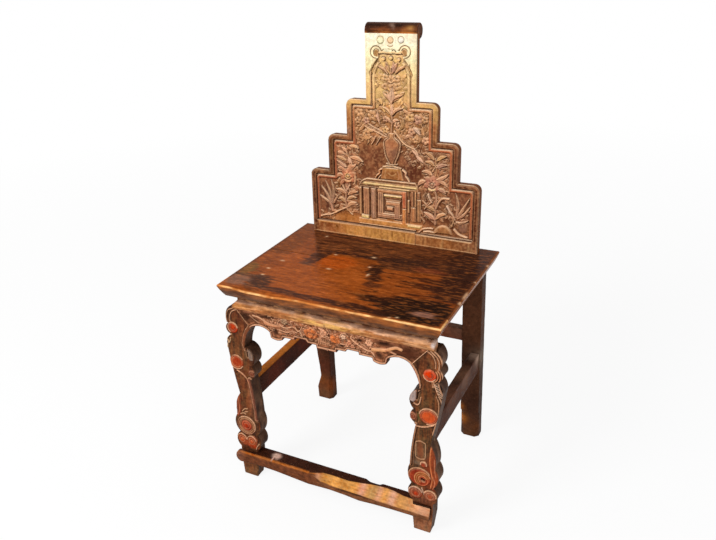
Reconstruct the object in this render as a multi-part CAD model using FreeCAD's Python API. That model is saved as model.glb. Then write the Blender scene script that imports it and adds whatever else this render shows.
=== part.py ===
"""Carved and lacquered Chinese side chair with a stepped back.

All sizes are in millimetres. While it is being modelled, x = 0 is the middle of the chair,
y = 0 is the front edge of the seat (the back is at +y) and z = 0 is the floor. The finished
pieces are then moved so that the origin is under the middle of the whole chair.
"""
import FreeCAD, Part
import math
import os

from FreeCAD import Vector

# Seat: two boards with a moulded edge at the front and the sides
seat_width = 516.0
seat_side_taper = 3.0
seat_depth = 387.0
seat_height = 500.0
seat_thickness = 30.0
seat_lip = 8.0
seat_edge_inset = 12.0
front_board_depth = 210.0

# Front legs: S-shaped outline seen from the front, leaning back as they rise
leg_face_width = 72.0
leg_depth = 37.0
leg_foot_depth = 29.0
leg_foot_height = 40.0
leg_foot_forward = 15.0
leg_top_setback = 12.0
leg_post_inset = 28.0
leg_post_width = 32.0

# Apron and waist strip between seat and front legs
waist_height = 29.0
apron_thickness = 18.0
apron_drop = 57.0
apron_tongue_thickness = 6.0
apron_tongue_height = 8.0
apron_tongue_width = 360.0
apron_tenon_height = 14.0
apron_tenon_length = 15.0
waist_width = 480.0
waist_thickness = 22.0
waist_bead_height = 18.0
waist_bead_proud = 3.0
waist_neck_recess = 8.0
waist_neck_end_inset = 10.0

# Rear legs
rear_leg_inset = 22.0
rear_leg_width = 47.0
rear_leg_depth = 31.0
rear_leg_setback = 21.5
rear_leg_chamfer = 9.0
rear_leg_chamfer_height = 75.0

# Side stretchers, rear stretcher and foot rail
side_stretcher_width = 22.0
side_stretcher_height = 49.0
side_stretcher_bottom = 198.0
side_stretcher_inset = 3.0
rear_stretcher_depth = 21.0
rear_stretcher_height = 33.0
rear_stretcher_bottom = 272.0
rear_stretcher_setback = 5.5
foot_rail_bottom = 40.0
foot_rail_height = 31.0
foot_rail_depth = 36.0
foot_rail_lip = 11.0
foot_rail_left_overhang = 7.0
foot_rail_right_shortfall = 4.0
foot_rail_end_radius = 12.0
foot_rail_wear_start = 30.0
foot_rail_wear_depth = 18.0
foot_rail_wear_drop = 16.0

# Seat rails and battens, out of sight under the seat
side_rail_width = 22.0
side_rail_inset = 5.0
seat_rail_height = 26.0
rear_rail_depth = 21.0
batten_width = 30.0
batten_height = 24.0
batten_housing = 6.0
batten_spacing = 220.0

# Back: a tall centre board and two wings in three equal steps, leaning back
back_thickness = 19.5
back_setback = 18.8
back_rake_degrees = 2.75
back_side_inset = 41.0
tower_width = 124.0
first_tier_rise = 161.0
second_tier_rise = 88.0
third_tier_rise = 85.0
tower_rise = 144.0
tier_corner_radius = 16.0
back_border = 22.0
back_foot_band = 31.0
field_depth = 5.0
arch_height = 51.0
arch_neck_width = 62.0
arch_neck_height = 15.0
arch_curve_share = 0.75
table_left = 84.0
table_width = 160.0
table_height = 109.0
table_foot_rise = 42.0
stand_width = 72.0
stand_height = 33.0
vase_width = 42.0
vase_height = 78.0
spray_height = 140.0
plant_height = 150.0
plant_foot_rise = 60.0
stem_width = 5.0
carved_leaf_length = 32.0
carved_leaf_width = 10.0
blossom_radius = 14.0
crest_radius = 17.0
crest_centre_rise = 5.0
crest_tenon_width = 60.0
crest_tenon_height = 10.0

# Joints: tenons, pegs and dowels
tenon_shoulder = 6.0
tenon_length = 22.0
rail_tenon_length = 12.0
top_tenon_height = 14.0
back_tenon_width = 70.0
back_tenon_shoulder = 5.0
batten_tenon_length = 8.0
batten_tenon_shoulder = 4.0
joint_clearance = 0.15
peg_radius = 3.5
dowel_radius = 4.0
dowel_length = 36.0
seat_dowel_count = 4
seat_dowel_spacing = 112.0
back_dowel_rises = (55.0, 150.0, 270.0)
overrun = 60.0

# Outline of a front leg seen from the front. Each point is a share of the face width, from the
# inside out, and a share of the leg's height. A pair of points is an arc: through, then to.
leg_outside_shares = [
    ((0.750, 0.000),),
    ((0.806, 0.091),),
    ((0.806, 0.170),),
    ((0.944, 0.218), (0.792, 0.265)),
    ((0.958, 0.320), (0.847, 0.372)),
    ((0.854, 0.435), (0.681, 0.503)),
    ((0.870, 0.646), (1.000, 0.771)),
    ((0.986, 0.812), (0.819, 0.846)),
    ((1.000, 0.875), (0.903, 0.907)),
    ((0.972, 0.946), (0.819, 1.000)),
]
mitre_top_share = (0.556, 1.000)
mitre_foot_share = (0.056, 0.907)
leg_inside_shares = [
    (mitre_top_share,),
    (mitre_foot_share,),
    ((0.250, 0.853), (0.347, 0.785)),
    ((0.264, 0.785),),
    ((0.028, 0.735), (0.153, 0.678)),
    ((0.056, 0.644), (0.236, 0.601)),
    ((0.125, 0.488), (0.069, 0.374)),
    ((0.000, 0.317), (0.125, 0.261)),
    ((0.014, 0.218), (0.167, 0.170)),
    ((0.167, 0.091),),
    ((0.222, 0.000),),
]

# Lower edge of the apron from the foot of the mitre to the middle: shares of the half width there
# and of the apron's drop below the waist strip.
apron_edge_shares = [
    ((0.858, 0.561), (0.737, 0.719)),
    ((0.726, 0.930),),
    ((0.647, 1.000), (0.568, 0.930)),
    ((0.558, 0.807),),
    ((0.400, 0.807),),
    ((0.400, 0.702),),
    ((0.263, 0.702),),
    ((0.237, 0.807),),
    ((0.126, 0.807),),
    ((0.126, 0.930),),
    ((0.000, 0.930),),
]

# Outer edge of the left rear leg, worn hollow above the foot: shares of the leg's width left
# standing and of its height up to the seat.
rear_wear_shares = [(0.915, 0.000), (0.935, 0.070), (0.660, 0.155), (0.800, 0.300), (1.000, 0.600)]

# Carving left standing in the sunken field of the back. Bars of the altar table's top, legs and
# fret: left, right, low and high edges, as shares of its width and height.
table_bar_shares = [
    (0.00, 0.95, 0.79, 1.00),
    (0.01, 0.16, 0.07, 0.79),
    (0.19, 0.27, 0.09, 0.79),
    (0.30, 0.39, 0.15, 0.79),
    (0.39, 0.69, 0.62, 0.79),
    (0.69, 0.76, 0.06, 0.79),
    (0.39, 0.69, 0.15, 0.25),
    (0.56, 0.65, 0.25, 0.51),
    (0.44, 0.56, 0.43, 0.51),
    (0.79, 0.88, 0.00, 0.79),
    (0.92, 0.99, 0.07, 0.79),
]

# Right halves of the stand and the vase, from the foot up: shares of half the width and the height.
stand_shares = [((1.00, 0.00),), ((0.97, 0.45),), ((0.70, 1.00),)]
vase_shares = [
    ((0.55, 0.00),),
    ((0.40, 0.10),),
    ((0.84, 0.38), (1.00, 0.68)),
    ((0.86, 0.80), (0.36, 0.87)),
    ((0.36, 1.00),),
]

# Stems of the two plants, as shares of the first tier's half width, and the feet of the leaf pairs
# of a plant and of the spray in the vase, as shares of their heights. A leaf reaches out and up.
plant_shares = (-0.55, 0.50)
plant_leaf_shares = (0.10, 0.35, 0.72, 0.95)
spray_leaf_shares = (0.16, 0.48, 0.94)
leaf_reach_share = 0.90
leaf_rise_share = 0.44

# Middles of the blossoms, as shares of the first tier's half width and of the tower's height.
blossom_shares = [(-0.54, 0.31), (0.48, 0.31), (0.00, 0.79), (-0.23, 0.60), (0.30, 0.60)]

# Places worked out from the sizes above
seat_underside = seat_height - seat_thickness
leg_height = seat_underside - waist_height
leg_outside_x = seat_width / 2
leg_inside_x = leg_outside_x - leg_face_width
leg_lean = (leg_foot_forward + leg_top_setback) / leg_height
rear_leg_outside_x = seat_width / 2 - seat_side_taper - rear_leg_inset
rear_leg_inside_x = rear_leg_outside_x - rear_leg_width
rear_leg_back_y = seat_depth - rear_leg_setback
rear_leg_front_y = rear_leg_back_y - rear_leg_depth
back_front_y = seat_depth - back_setback - back_thickness
rake = math.radians(back_rake_degrees)
tower_half = tower_width / 2
first_half = seat_width / 2 - seat_side_taper - back_side_inset
tier_step = (first_half - tower_half) / 3
third_half = tower_half + tier_step
second_half = third_half + tier_step
wing_tenon_middle = (tower_half + first_half) / 2
second_top = first_tier_rise + second_tier_rise
third_top = second_top + third_tier_rise
tower_top = third_top + tower_rise
crest_centre = tower_top + crest_centre_rise
arch_top = tower_top - back_border - crest_radius
vase_foot_rise = table_foot_rise + table_height + stand_height
seat_rail_bottom = seat_underside - seat_rail_height
foot_rail_top = foot_rail_bottom + foot_rail_height


def leg_face_y(height):
    """Front face of legs and apron at a height above the floor."""
    return leg_lean * height - leg_foot_forward


foot_rail_front_y = leg_face_y(foot_rail_top) - foot_rail_lip
waist_back_y = leg_top_setback - waist_bead_proud + waist_thickness


def block(x0, x1, y0, y1, z0, z1):
    """A rectangular block between two corners."""
    return Part.makeBox(x1 - x0, y1 - y0, z1 - z0, Vector(x0, y0, z0))


def grown(x0, x1, y0, y1, z0, z1):
    """The block's mortise: wider by the joint clearance on every side."""
    c = joint_clearance
    return block(x0 - c, x1 + c, y0 - c, y1 + c, z0 - c, z1 + c)


def outline_face(start, steps):
    """A flat face from a start point and steps: a line to a point, or an arc through one to another."""
    edges = []
    here = start
    for step in steps:
        if len(step) == 1:
            edges.append(Part.makeLine(here, step[0]))
        else:
            edges.append(Part.Arc(here, step[0], step[1]).toShape())
        here = step[-1]
    if here.distanceToPoint(start) > joint_clearance:
        edges.append(Part.makeLine(here, start))
    return Part.Face(Part.Wire(edges))


def across(steps, y0, y1):
    """A solid with the given front outline, from depth y0 to depth y1."""
    start = Vector(steps[0][-1].x, y0, steps[0][-1].z)
    moved = [tuple(Vector(p.x, y0, p.z) for p in step) for step in steps[1:]]
    return outline_face(start, moved).extrude(Vector(0, y1 - y0, 0))


def sideways(points, x0, x1):
    """A solid with the given side outline, a list of (y, z), from x0 to x1."""
    corners = [Vector(x0, y, z) for y, z in points]
    return Part.Face(Part.makePolygon(corners + corners[:1])).extrude(Vector(x1 - x0, 0, 0))


def rod(x, y, z, radius, length, direction):
    """A round rod from a point along a direction."""
    return Part.makeCylinder(radius, length, Vector(x, y, z), direction)


def mirrored(shape):
    """The piece's twin on the other side of the chair."""
    return shape.mirror(Vector(0, 0, 0), Vector(1, 0, 0))


def single(shape):
    """The one solid of a cut or joined shape."""
    return shape.removeSplitter().Solids[0]


def leg_point(share):
    """A point of the right front leg's outline."""
    return Vector(leg_inside_x + share[0] * leg_face_width, 0, share[1] * leg_height)


def leg_steps():
    """The right front leg's outline, up the outside and down the inside."""
    return [tuple(leg_point(s) for s in step) for step in leg_outside_shares + leg_inside_shares]


# Tenons, each as the six limits of a block on the right of the chair


def side_stretcher_tenon(y0, y1):
    outside = rear_leg_outside_x - side_stretcher_inset
    return (outside - side_stretcher_width + tenon_shoulder, outside - tenon_shoulder, y0, y1,
            side_stretcher_bottom + tenon_shoulder,
            side_stretcher_bottom + side_stretcher_height - tenon_shoulder)


def side_rail_tenon(y0, y1):
    outside = rear_leg_outside_x - side_rail_inset
    return (outside - side_rail_width + tenon_shoulder, outside - tenon_shoulder, y0, y1,
            seat_rail_bottom + tenon_shoulder, seat_underside - tenon_shoulder)


def rear_stretcher_tenon():
    back = rear_leg_back_y - rear_stretcher_setback
    return (rear_leg_inside_x, rear_leg_inside_x + tenon_length,
            back - rear_stretcher_depth + tenon_shoulder, back - tenon_shoulder,
            rear_stretcher_bottom + tenon_shoulder,
            rear_stretcher_bottom + rear_stretcher_height - tenon_shoulder)


def rear_rail_tenon():
    back = rear_leg_back_y - rear_stretcher_setback
    return (rear_leg_inside_x, rear_leg_inside_x + rail_tenon_length,
            back - rear_rail_depth + tenon_shoulder, back - tenon_shoulder,
            seat_rail_bottom + tenon_shoulder, seat_underside - tenon_shoulder)


def foot_rail_tenon():
    inside = leg_point(leg_inside_shares[-2][0]).x
    back = foot_rail_front_y + foot_rail_depth
    return (inside, inside + tenon_length, leg_face_y(foot_rail_top) + tenon_shoulder,
            back, foot_rail_bottom + tenon_shoulder, foot_rail_top - tenon_shoulder)


def apron_tenon():
    foot = leg_point(mitre_foot_share)
    top = leg_point(mitre_top_share)
    low = foot.z + tenon_shoulder
    back = leg_face_y(foot.z) + apron_thickness
    return (foot.x, top.x - tenon_shoulder + apron_tenon_length / 2,
            back - 2 * tenon_shoulder, back - tenon_shoulder, low, low + apron_tenon_height)


def leg_post(grow):
    """The square post on top of a front leg, behind the waist strip."""
    x1 = leg_outside_x - leg_post_inset
    y1 = leg_face_y(leg_height) + leg_depth
    return block(x1 - leg_post_width, x1, waist_back_y, y1, leg_height - grow, seat_underside)


def front_leg_top_tenon():
    x1 = leg_outside_x - leg_post_inset
    y1 = leg_face_y(leg_height) + leg_depth
    return (x1 - leg_post_width + tenon_shoulder, x1 - tenon_shoulder,
            waist_back_y + tenon_shoulder / 2, y1 - tenon_shoulder / 2,
            seat_underside, seat_underside + top_tenon_height)


def rear_leg_top_tenon():
    return (rear_leg_inside_x + 2 * tenon_shoulder, rear_leg_outside_x - 2 * tenon_shoulder,
            rear_leg_front_y + tenon_shoulder, rear_leg_back_y - tenon_shoulder,
            seat_underside, seat_underside + top_tenon_height)


def back_tenon(middle):
    """A tenon under the back, straight down through the seat."""
    return (middle - back_tenon_width / 2, middle + back_tenon_width / 2,
            back_front_y + back_tenon_shoulder, back_front_y + back_thickness - back_tenon_shoulder,
            seat_underside, seat_height)


def batten_limits(side, z0, z1, reach):
    """A seat batten between the waist strip and the rear rail."""
    middle = side * batten_spacing / 2
    rail_front = rear_leg_back_y - rear_stretcher_setback - rear_rail_depth
    return (middle - batten_width / 2, middle + batten_width / 2,
            waist_back_y - reach, rail_front + reach, z0, z1)


def batten_tenon_limits(side):
    c = batten_tenon_shoulder
    top = seat_underside - c
    low = seat_underside + batten_housing - batten_height + c
    x0, x1, y0, y1, z0, z1 = batten_limits(side, low, top, batten_tenon_length)
    return (x0 + c, x1 - c, y0, y1, z0, z1)


# Pegs and dowels, as (x, y, z, direction, length) on the right of the chair


def stretcher_peg_places():
    """Pegs from the outer face of each leg through the side stretcher, and at the back."""
    x = rear_leg_outside_x
    z = side_stretcher_bottom + side_stretcher_height / 2
    length = side_stretcher_width + tenon_shoulder
    front_length = length + leg_outside_x - rear_leg_outside_x
    front_y = leg_face_y(z) + leg_depth - tenon_length / 2
    back_y = rear_leg_front_y + tenon_length / 2
    inward = Vector(-1, 0, 0)
    rear_x = rear_leg_inside_x + tenon_length / 2
    rear_z = rear_stretcher_bottom + rear_stretcher_height / 2
    rear_length = rear_leg_depth - tenon_shoulder
    return [(leg_outside_x, front_y, z, inward, front_length), (x, back_y, z, inward, length),
            (rear_x, rear_leg_back_y, rear_z, Vector(0, -1, 0), rear_length)]


def rail_peg_places():
    """Pegs through the tenons of the side rails and the rear rail."""
    z = (seat_rail_bottom + seat_underside) / 2
    x = leg_outside_x - leg_post_inset
    inward = Vector(-1, 0, 0)
    front_y = leg_face_y(leg_height) + leg_depth - rail_tenon_length / 2
    back_y = rear_leg_front_y + rail_tenon_length / 2
    rear_x = rear_leg_inside_x + rail_tenon_length / 2
    length = leg_post_width - tenon_shoulder
    return [(x, front_y, z, inward, length), (rear_leg_outside_x, back_y, z, inward, length),
            (rear_x, rear_leg_back_y, z, Vector(0, -1, 0), rear_leg_depth - tenon_shoulder)]


def foot_peg_places():
    """Pegs from the back of each front foot through the foot rail's tenon."""
    x0, x1, y0, y1, z0, z1 = foot_rail_tenon()
    z = (z0 + z1) / 2
    back = leg_face_y(z) + leg_foot_depth
    return [((x0 + x1) / 2, back, z, Vector(0, -1, 0), back - y0 + tenon_shoulder / 2)]


def peg(place):
    x, y, z, direction, length = place
    return rod(x, y, z, peg_radius, length, direction)


def peg_hole(place):
    """The peg's hole: wider and deeper by the joint clearance, and open at the face."""
    x, y, z, direction, length = place
    start = Vector(x, y, z) - direction * peg_radius
    return rod(start.x, start.y, start.z, peg_radius + joint_clearance,
               length + peg_radius + joint_clearance, direction)


def pegs(places):
    return [peg(place) for place in places]


def stretcher_pegs():
    """The stretchers' pegs on the right. The front one is pared off flush with the leg's curve."""
    front, *others = pegs(stretcher_peg_places())
    return [single(front.common(leg_blank()))] + others


def both_sides(right):
    """Pegs on the right and their twins on the left."""
    return right + [mirrored(shape) for shape in right]


def seat_dowel(i, clearance):
    """A dowel across the joint between the seat boards."""
    x = (i - (seat_dowel_count - 1) / 2) * seat_dowel_spacing
    length = dowel_length + 2 * clearance
    return rod(x, front_board_depth - length / 2, seat_underside + seat_thickness / 2,
               dowel_radius + clearance, length, Vector(0, 1, 0))


def leaned(shape):
    """Turn an upright shape of the back about the line where its face meets the seat."""
    turned = shape.copy()
    turned.rotate(Vector(0, back_front_y, seat_height), Vector(1, 0, 0), -back_rake_degrees)
    return turned


def back_dowel(side, rise, clearance):
    """A dowel across the joint between centre board and wing."""
    length = dowel_length + 2 * clearance
    x = side * tower_half - length / 2
    return leaned(rod(x, back_front_y + (field_depth + back_thickness) / 2, seat_height + rise,
                      dowel_radius + clearance, length, Vector(1, 0, 0)))


def back_peg_places():
    """Pegs from the rear edge of the seat through the tenons of the back."""
    z = seat_underside + seat_thickness / 2
    length = seat_depth - back_front_y
    toward = Vector(0, -1, 0)
    middles = (-wing_tenon_middle, 0, wing_tenon_middle)
    return [(x, seat_depth, z, toward, length) for x in middles]


# Seat


def seat_outline(inset, z):
    """Plan of the seat at a height: set in at the front and sides, flush at the rear."""
    front = seat_width / 2 - inset
    rear = front - seat_side_taper
    slope = seat_side_taper / seat_depth
    corners = [(-front + slope * inset, inset), (front - slope * inset, inset),
               (rear, seat_depth), (-rear, seat_depth)]
    points = [Vector(x, y, z) for x, y in corners]
    return Part.makePolygon(points + points[:1])


def seat_slab():
    """The whole seat before it is divided into two boards."""
    top = Part.Face(seat_outline(0, seat_height)).extrude(Vector(0, 0, -seat_lip))
    sections = [seat_outline(0, seat_height - seat_lip),
                seat_outline(seat_edge_inset, seat_underside)]
    edge = Part.makeLoft(sections, True, True)
    return top.fuse(edge).removeSplitter()


def seat_mortises():
    """Everything that is cut into the seat from below."""
    cuts = []
    for limits in (front_leg_top_tenon(), rear_leg_top_tenon()):
        cut = grown(*limits)
        cuts += [cut, mirrored(cut)]
    for middle in (-wing_tenon_middle, 0, wing_tenon_middle):
        x0, x1, y0, y1, z0, z1 = back_tenon(middle)
        cuts.append(grown(x0, x1, y0, y1, z0 - overrun, z1 + overrun))
    for side in (-1, 1):
        top = seat_underside + batten_housing
        x0, x1, y0, y1, z0, z1 = batten_limits(side, seat_underside - overrun, top, 0)
        cuts.append(grown(x0, x1, y0, y1, z0, z1 - joint_clearance))
    cuts += [seat_dowel(i, joint_clearance) for i in range(seat_dowel_count)]
    cuts += [peg_hole(place) for place in back_peg_places()]
    return cuts


def seat_board(y0, y1):
    """The part of the seat between two depths."""
    reach = seat_width
    half = block(-reach, reach, y0, y1, seat_underside - overrun, seat_height + overrun)
    return single(seat_slab().common(half).cut(seat_mortises()))


def seat_batten(side):
    low = seat_underside + batten_housing - batten_height
    body = block(*batten_limits(side, low, seat_underside + batten_housing, 0))
    return single(body.fuse(block(*batten_tenon_limits(side))))


# Front frame


def leg_side_outline():
    """Side view of a front leg: leaning, and shallower at the foot."""
    top = leg_height
    block_back = leg_face_y(leg_foot_height) + leg_depth
    return [(leg_face_y(0), 0), (leg_face_y(top), top), (leg_face_y(top) + leg_depth, top),
            (block_back, leg_foot_height), (leg_face_y(0) + leg_foot_depth, 0)]


def leg_blank():
    """The right front leg's outside shape, with no joints cut."""
    front_view = across(leg_steps(), -overrun - leg_foot_forward, leg_depth + overrun)
    side_view = sideways(leg_side_outline(), leg_inside_x - overrun, leg_outside_x + overrun)
    return front_view.common(side_view)


def front_leg():
    leg = leg_blank().fuse([leg_post(overrun).common(leg_post(leg_foot_height)),
                            block(*front_leg_top_tenon())])
    back = leg_face_y(side_stretcher_bottom) + leg_depth
    post_back = leg_face_y(leg_height) + leg_depth
    cuts = [grown(*side_stretcher_tenon(back - tenon_length, back + overrun)),
            grown(*side_rail_tenon(post_back - rail_tenon_length, post_back + overrun)),
            grown(*foot_rail_tenon()), grown(*apron_tenon())]
    places = stretcher_peg_places()[:1] + rail_peg_places()[:1] + foot_peg_places()
    cuts += [peg_hole(place) for place in places]
    return single(leg.cut(cuts))


def apron_steps():
    """The apron's outline: along the lower edge from right to left, then over the two mitres."""
    foot = leg_point(mitre_foot_share)
    top = leg_point(mitre_top_share)

    def place(share):
        return Vector(share[0] * foot.x, 0, leg_height - share[1] * apron_drop)

    def opposite(point):
        return Vector(-point.x, 0, point.z)

    right = [tuple(place(share) for share in step) for step in apron_edge_shares]
    ends = [foot] + [step[-1] for step in right]
    left = []
    for i in reversed(range(len(right))):
        through = tuple(opposite(point) for point in right[i][:-1])
        left.append(through + (opposite(ends[i]),))
    return [(foot,)] + right + left + [(opposite(top),), (top,), (foot,)]


def front_apron():
    face_low = leg_face_y(leg_height - apron_drop - overrun)
    face_top = leg_face_y(leg_height)
    low = leg_height - apron_drop - overrun
    slab = sideways([(face_low, low), (face_top, leg_height),
                     (face_top + apron_thickness, leg_height), (face_low + apron_thickness, low)],
                    -seat_width, seat_width)
    panel = across(apron_steps(), -overrun, leg_depth + overrun).common(slab)
    tongue = block(*apron_tongue_limits())
    tenon = block(*apron_tenon())
    return single(panel.fuse([tongue, tenon, mirrored(tenon)]))


def apron_tongue_limits():
    """The tongue on top of the apron that enters the waist strip."""
    front = leg_top_setback + (apron_thickness - apron_tongue_thickness) / 2
    return (-apron_tongue_width / 2, apron_tongue_width / 2, front, front + apron_tongue_thickness,
            leg_height - tenon_shoulder, leg_height + apron_tongue_height)


def front_waist():
    """Moulded strip: a rounded bead below and a recessed neck above."""
    front = leg_top_setback - waist_bead_proud
    bead_top = leg_height + waist_bead_height
    neck = leg_top_setback + waist_neck_recess
    low = Vector(0, leg_top_setback, leg_height)
    belly = Vector(0, front, leg_height + waist_bead_height / 2)
    high = Vector(0, leg_top_setback, bead_top)
    arc = Part.Arc(low, belly, high).toShape()
    corners = [high, Vector(0, neck, bead_top), Vector(0, neck, seat_underside),
               Vector(0, waist_back_y, seat_underside), Vector(0, waist_back_y, leg_height), low]
    rest = [Part.makeLine(a, b) for a, b in zip(corners, corners[1:])]
    section = Part.Face(Part.Wire([arc] + rest))
    strip = section.extrude(Vector(waist_width / 2, 0, 0))
    end = waist_width / 2 - waist_neck_end_inset
    strip = strip.cut(block(end, seat_width, -overrun, waist_back_y + overrun,
                            bead_top, seat_underside + overrun))
    strip = strip.fuse(mirrored(strip))
    x0, x1, y0, y1, z0, z1 = apron_tongue_limits()
    cuts = [grown(x0, x1, y0, y1, z0, z1)]
    cuts += [grown(*batten_tenon_limits(side)) for side in (-1, 1)]
    return single(strip.cut(cuts))


# Rear frame


def foot_chamfer(x, toward):
    """What the chamfer takes off a front corner of a rear foot."""
    y = rear_leg_front_y
    corner = [Vector(x, y, 0), Vector(x + toward * rear_leg_chamfer, y, 0),
              Vector(x, y + rear_leg_chamfer, 0)]
    face = Part.Face(Part.makePolygon(corner + corner[:1]))
    return face.extrude(Vector(0, 0, rear_leg_chamfer_height))


def rear_leg(worn):
    """The right rear leg: a square post with a chamfered foot."""
    height = seat_underside
    outer = [(rear_leg_outside_x, 0), (rear_leg_outside_x, height)]
    if worn:
        outer = [(rear_leg_inside_x + a * rear_leg_width, b * height) for a, b in rear_wear_shares]
        outer.append((rear_leg_outside_x, height))
    inner = [(rear_leg_inside_x, height), (rear_leg_inside_x, 0), outer[0]]
    steps = [(Vector(x, 0, z),) for x, z in outer + inner]
    leg = across(steps, rear_leg_front_y, rear_leg_back_y)
    leg = leg.fuse(block(*rear_leg_top_tenon()))
    cuts = [foot_chamfer(rear_leg_inside_x, 1),
            grown(*side_stretcher_tenon(rear_leg_front_y - overrun, rear_leg_front_y + tenon_length)),
            grown(*side_rail_tenon(rear_leg_front_y - overrun, rear_leg_front_y + rail_tenon_length)),
            grown(*rear_stretcher_tenon()), grown(*rear_rail_tenon())]
    if not worn:
        cuts.append(foot_chamfer(rear_leg_outside_x, -1))
    cuts += [peg_hole(place) for place in stretcher_peg_places()[1:] + rail_peg_places()[1:]]
    return single(leg.cut(cuts))


def side_stretcher():
    """Deep stretcher, shouldered against the sloping back of the front leg."""
    outside = rear_leg_outside_x - side_stretcher_inset
    back = leg_face_y(side_stretcher_bottom) + leg_depth
    body = block(outside - side_stretcher_width, outside, back - tenon_shoulder, rear_leg_front_y,
                 side_stretcher_bottom, side_stretcher_bottom + side_stretcher_height)
    body = body.cut(leg_blank())
    front = block(*side_stretcher_tenon(back - tenon_length, back + tenon_length))
    rear = block(*side_stretcher_tenon(rear_leg_front_y - tenon_length,
                                       rear_leg_front_y + tenon_length))
    holes = [peg_hole(place) for place in stretcher_peg_places()[:2]]
    return single(body.fuse([front, rear]).cut(holes))


def side_rail():
    """Seat rail between the post of the front leg and the rear leg."""
    outside = rear_leg_outside_x - side_rail_inset
    front = leg_face_y(leg_height) + leg_depth
    body = block(outside - side_rail_width, outside, front, rear_leg_front_y,
                 seat_rail_bottom, seat_underside)
    tenon = block(*side_rail_tenon(front - rail_tenon_length, rear_leg_front_y + rail_tenon_length))
    holes = [peg_hole(place) for place in rail_peg_places()[:2]]
    return single(body.fuse(tenon).cut(holes))


def rear_member(depth, bottom, height, tenon, place):
    """A stretcher or rail between the rear legs, with a tenon at each end."""
    back = rear_leg_back_y - rear_stretcher_setback
    body = block(-rear_leg_inside_x, rear_leg_inside_x, back - depth, back, bottom, bottom + height)
    right = block(*tenon)
    hole = peg_hole(place)
    return single(body.fuse([right, mirrored(right)]).cut([hole, mirrored(hole)]))


def rear_stretcher():
    return rear_member(rear_stretcher_depth, rear_stretcher_bottom, rear_stretcher_height,
                       rear_stretcher_tenon(), stretcher_peg_places()[2])


def rear_rail():
    rail = rear_member(rear_rail_depth, seat_rail_bottom, seat_rail_height,
                       rear_rail_tenon(), rail_peg_places()[2])
    return single(rail.cut([grown(*batten_tenon_limits(side)) for side in (-1, 1)]))


# Foot rail


def foot_rail_lip_steps():
    """Front view of the lip: rounded at its left end."""
    outside = leg_point(leg_outside_shares[1][0]).x
    left = -outside - foot_rail_left_overhang
    right = outside - foot_rail_right_shortfall
    r = foot_rail_end_radius
    low = foot_rail_bottom
    high = foot_rail_top
    near = r - r * math.sqrt(0.5)
    return [(Vector(right, 0, low),), (Vector(right, 0, high),), (Vector(left + r, 0, high),),
            (Vector(left + near, 0, high - near), Vector(left, 0, high - r)),
            (Vector(left, 0, low + r),),
            (Vector(left + near, 0, low + near), Vector(left + r, 0, low)),
            (Vector(right, 0, low),)]


def foot_rail():
    """Wide rail between the feet, with a lip over their fronts and a worn right-hand arris."""
    front = foot_rail_front_y
    back = front + foot_rail_depth
    inside = leg_point(leg_inside_shares[-2][0]).x
    lip = across(foot_rail_lip_steps(), front, leg_face_y(foot_rail_top))
    body = block(-inside, inside, front, back, foot_rail_bottom, foot_rail_top)
    tenon = block(*foot_rail_tenon())
    legs = leg_blank()
    rail = lip.fuse(body).cut([legs, mirrored(legs)])
    rail = rail.fuse([tenon, mirrored(tenon)])
    worn = [(front, foot_rail_top - foot_rail_wear_drop), (front + foot_rail_wear_depth, foot_rail_top),
            (front + foot_rail_wear_depth, foot_rail_top + overrun),
            (front - overrun, foot_rail_top + overrun),
            (front - overrun, foot_rail_top - foot_rail_wear_drop)]
    cuts = [sideways(worn, -foot_rail_wear_start, seat_width)]
    for place in foot_peg_places():
        hole = peg_hole(place)
        cuts += [hole, mirrored(hole)]
    return single(rail.cut(cuts))


# Back


def below_seat():
    """Everything under the top of the seat, to cut the feet of the back boards flat."""
    return block(-seat_width, seat_width, -overrun, seat_depth + overrun,
                 seat_underside - overrun, seat_height)


def board(points):
    """A back board from an upright outline of steps, leaned and cut level with the seat."""
    upright = across(points, back_front_y, back_front_y + back_thickness)
    return leaned(upright).cut(below_seat())


def field_steps():
    """Right half of the sunken field: three steps inside the border, then an arch with a neck."""
    low = seat_height + back_foot_band
    high = seat_height + arch_top
    halves = [half - back_border for half in (first_half, second_half, third_half, tower_half)]
    tops = [seat_height + top - back_border for top in (first_tier_rise, second_top, third_top)]
    steps = [(Vector(0, 0, low),), (Vector(halves[0], 0, low),)]
    for here, inward, top in zip(halves, halves[1:], tops):
        steps += [(Vector(here, 0, top),), (Vector(inward, 0, top),)]
    neck = arch_neck_width / 2
    spring = high - arch_height
    shoulder = high - arch_neck_height
    through = Vector(neck + arch_curve_share * (halves[-1] - neck), 0, (spring + shoulder) / 2)
    return steps + [(Vector(halves[-1], 0, spring),), (through, Vector(neck, 0, shoulder)),
                    (Vector(neck, 0, high),), (Vector(0, 0, high),)]


def standing(steps):
    """A form left standing in the field, from its front outline."""
    return across(steps, back_front_y - overrun, back_front_y + back_thickness)


def standing_box(x0, x1, z0, z1):
    """An upright or level bar left standing, from heights above the seat."""
    corners = [(x0, z0), (x1, z0), (x1, z1), (x0, z1), (x0, z0)]
    return standing([(Vector(x, 0, seat_height + z),) for x, z in corners])


def table_bars():
    """The altar table with its fret."""
    bars = []
    for left, right, low, high in table_bar_shares:
        bars.append(standing_box(left * table_width - table_left, right * table_width - table_left,
                                 table_foot_rise + low * table_height,
                                 table_foot_rise + high * table_height))
    return bars


def turned_form(shares, width, foot_rise, height):
    """Both halves of the stand or the vase."""
    low = seat_height + foot_rise
    steps = [(Vector(0, 0, low),)]
    for step in shares:
        steps.append(tuple(Vector(a * width / 2, 0, low + b * height) for a, b in step))
    steps.append((Vector(0, 0, low + height),))
    half = standing(steps)
    return half.fuse(mirrored(half)).removeSplitter()


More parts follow.
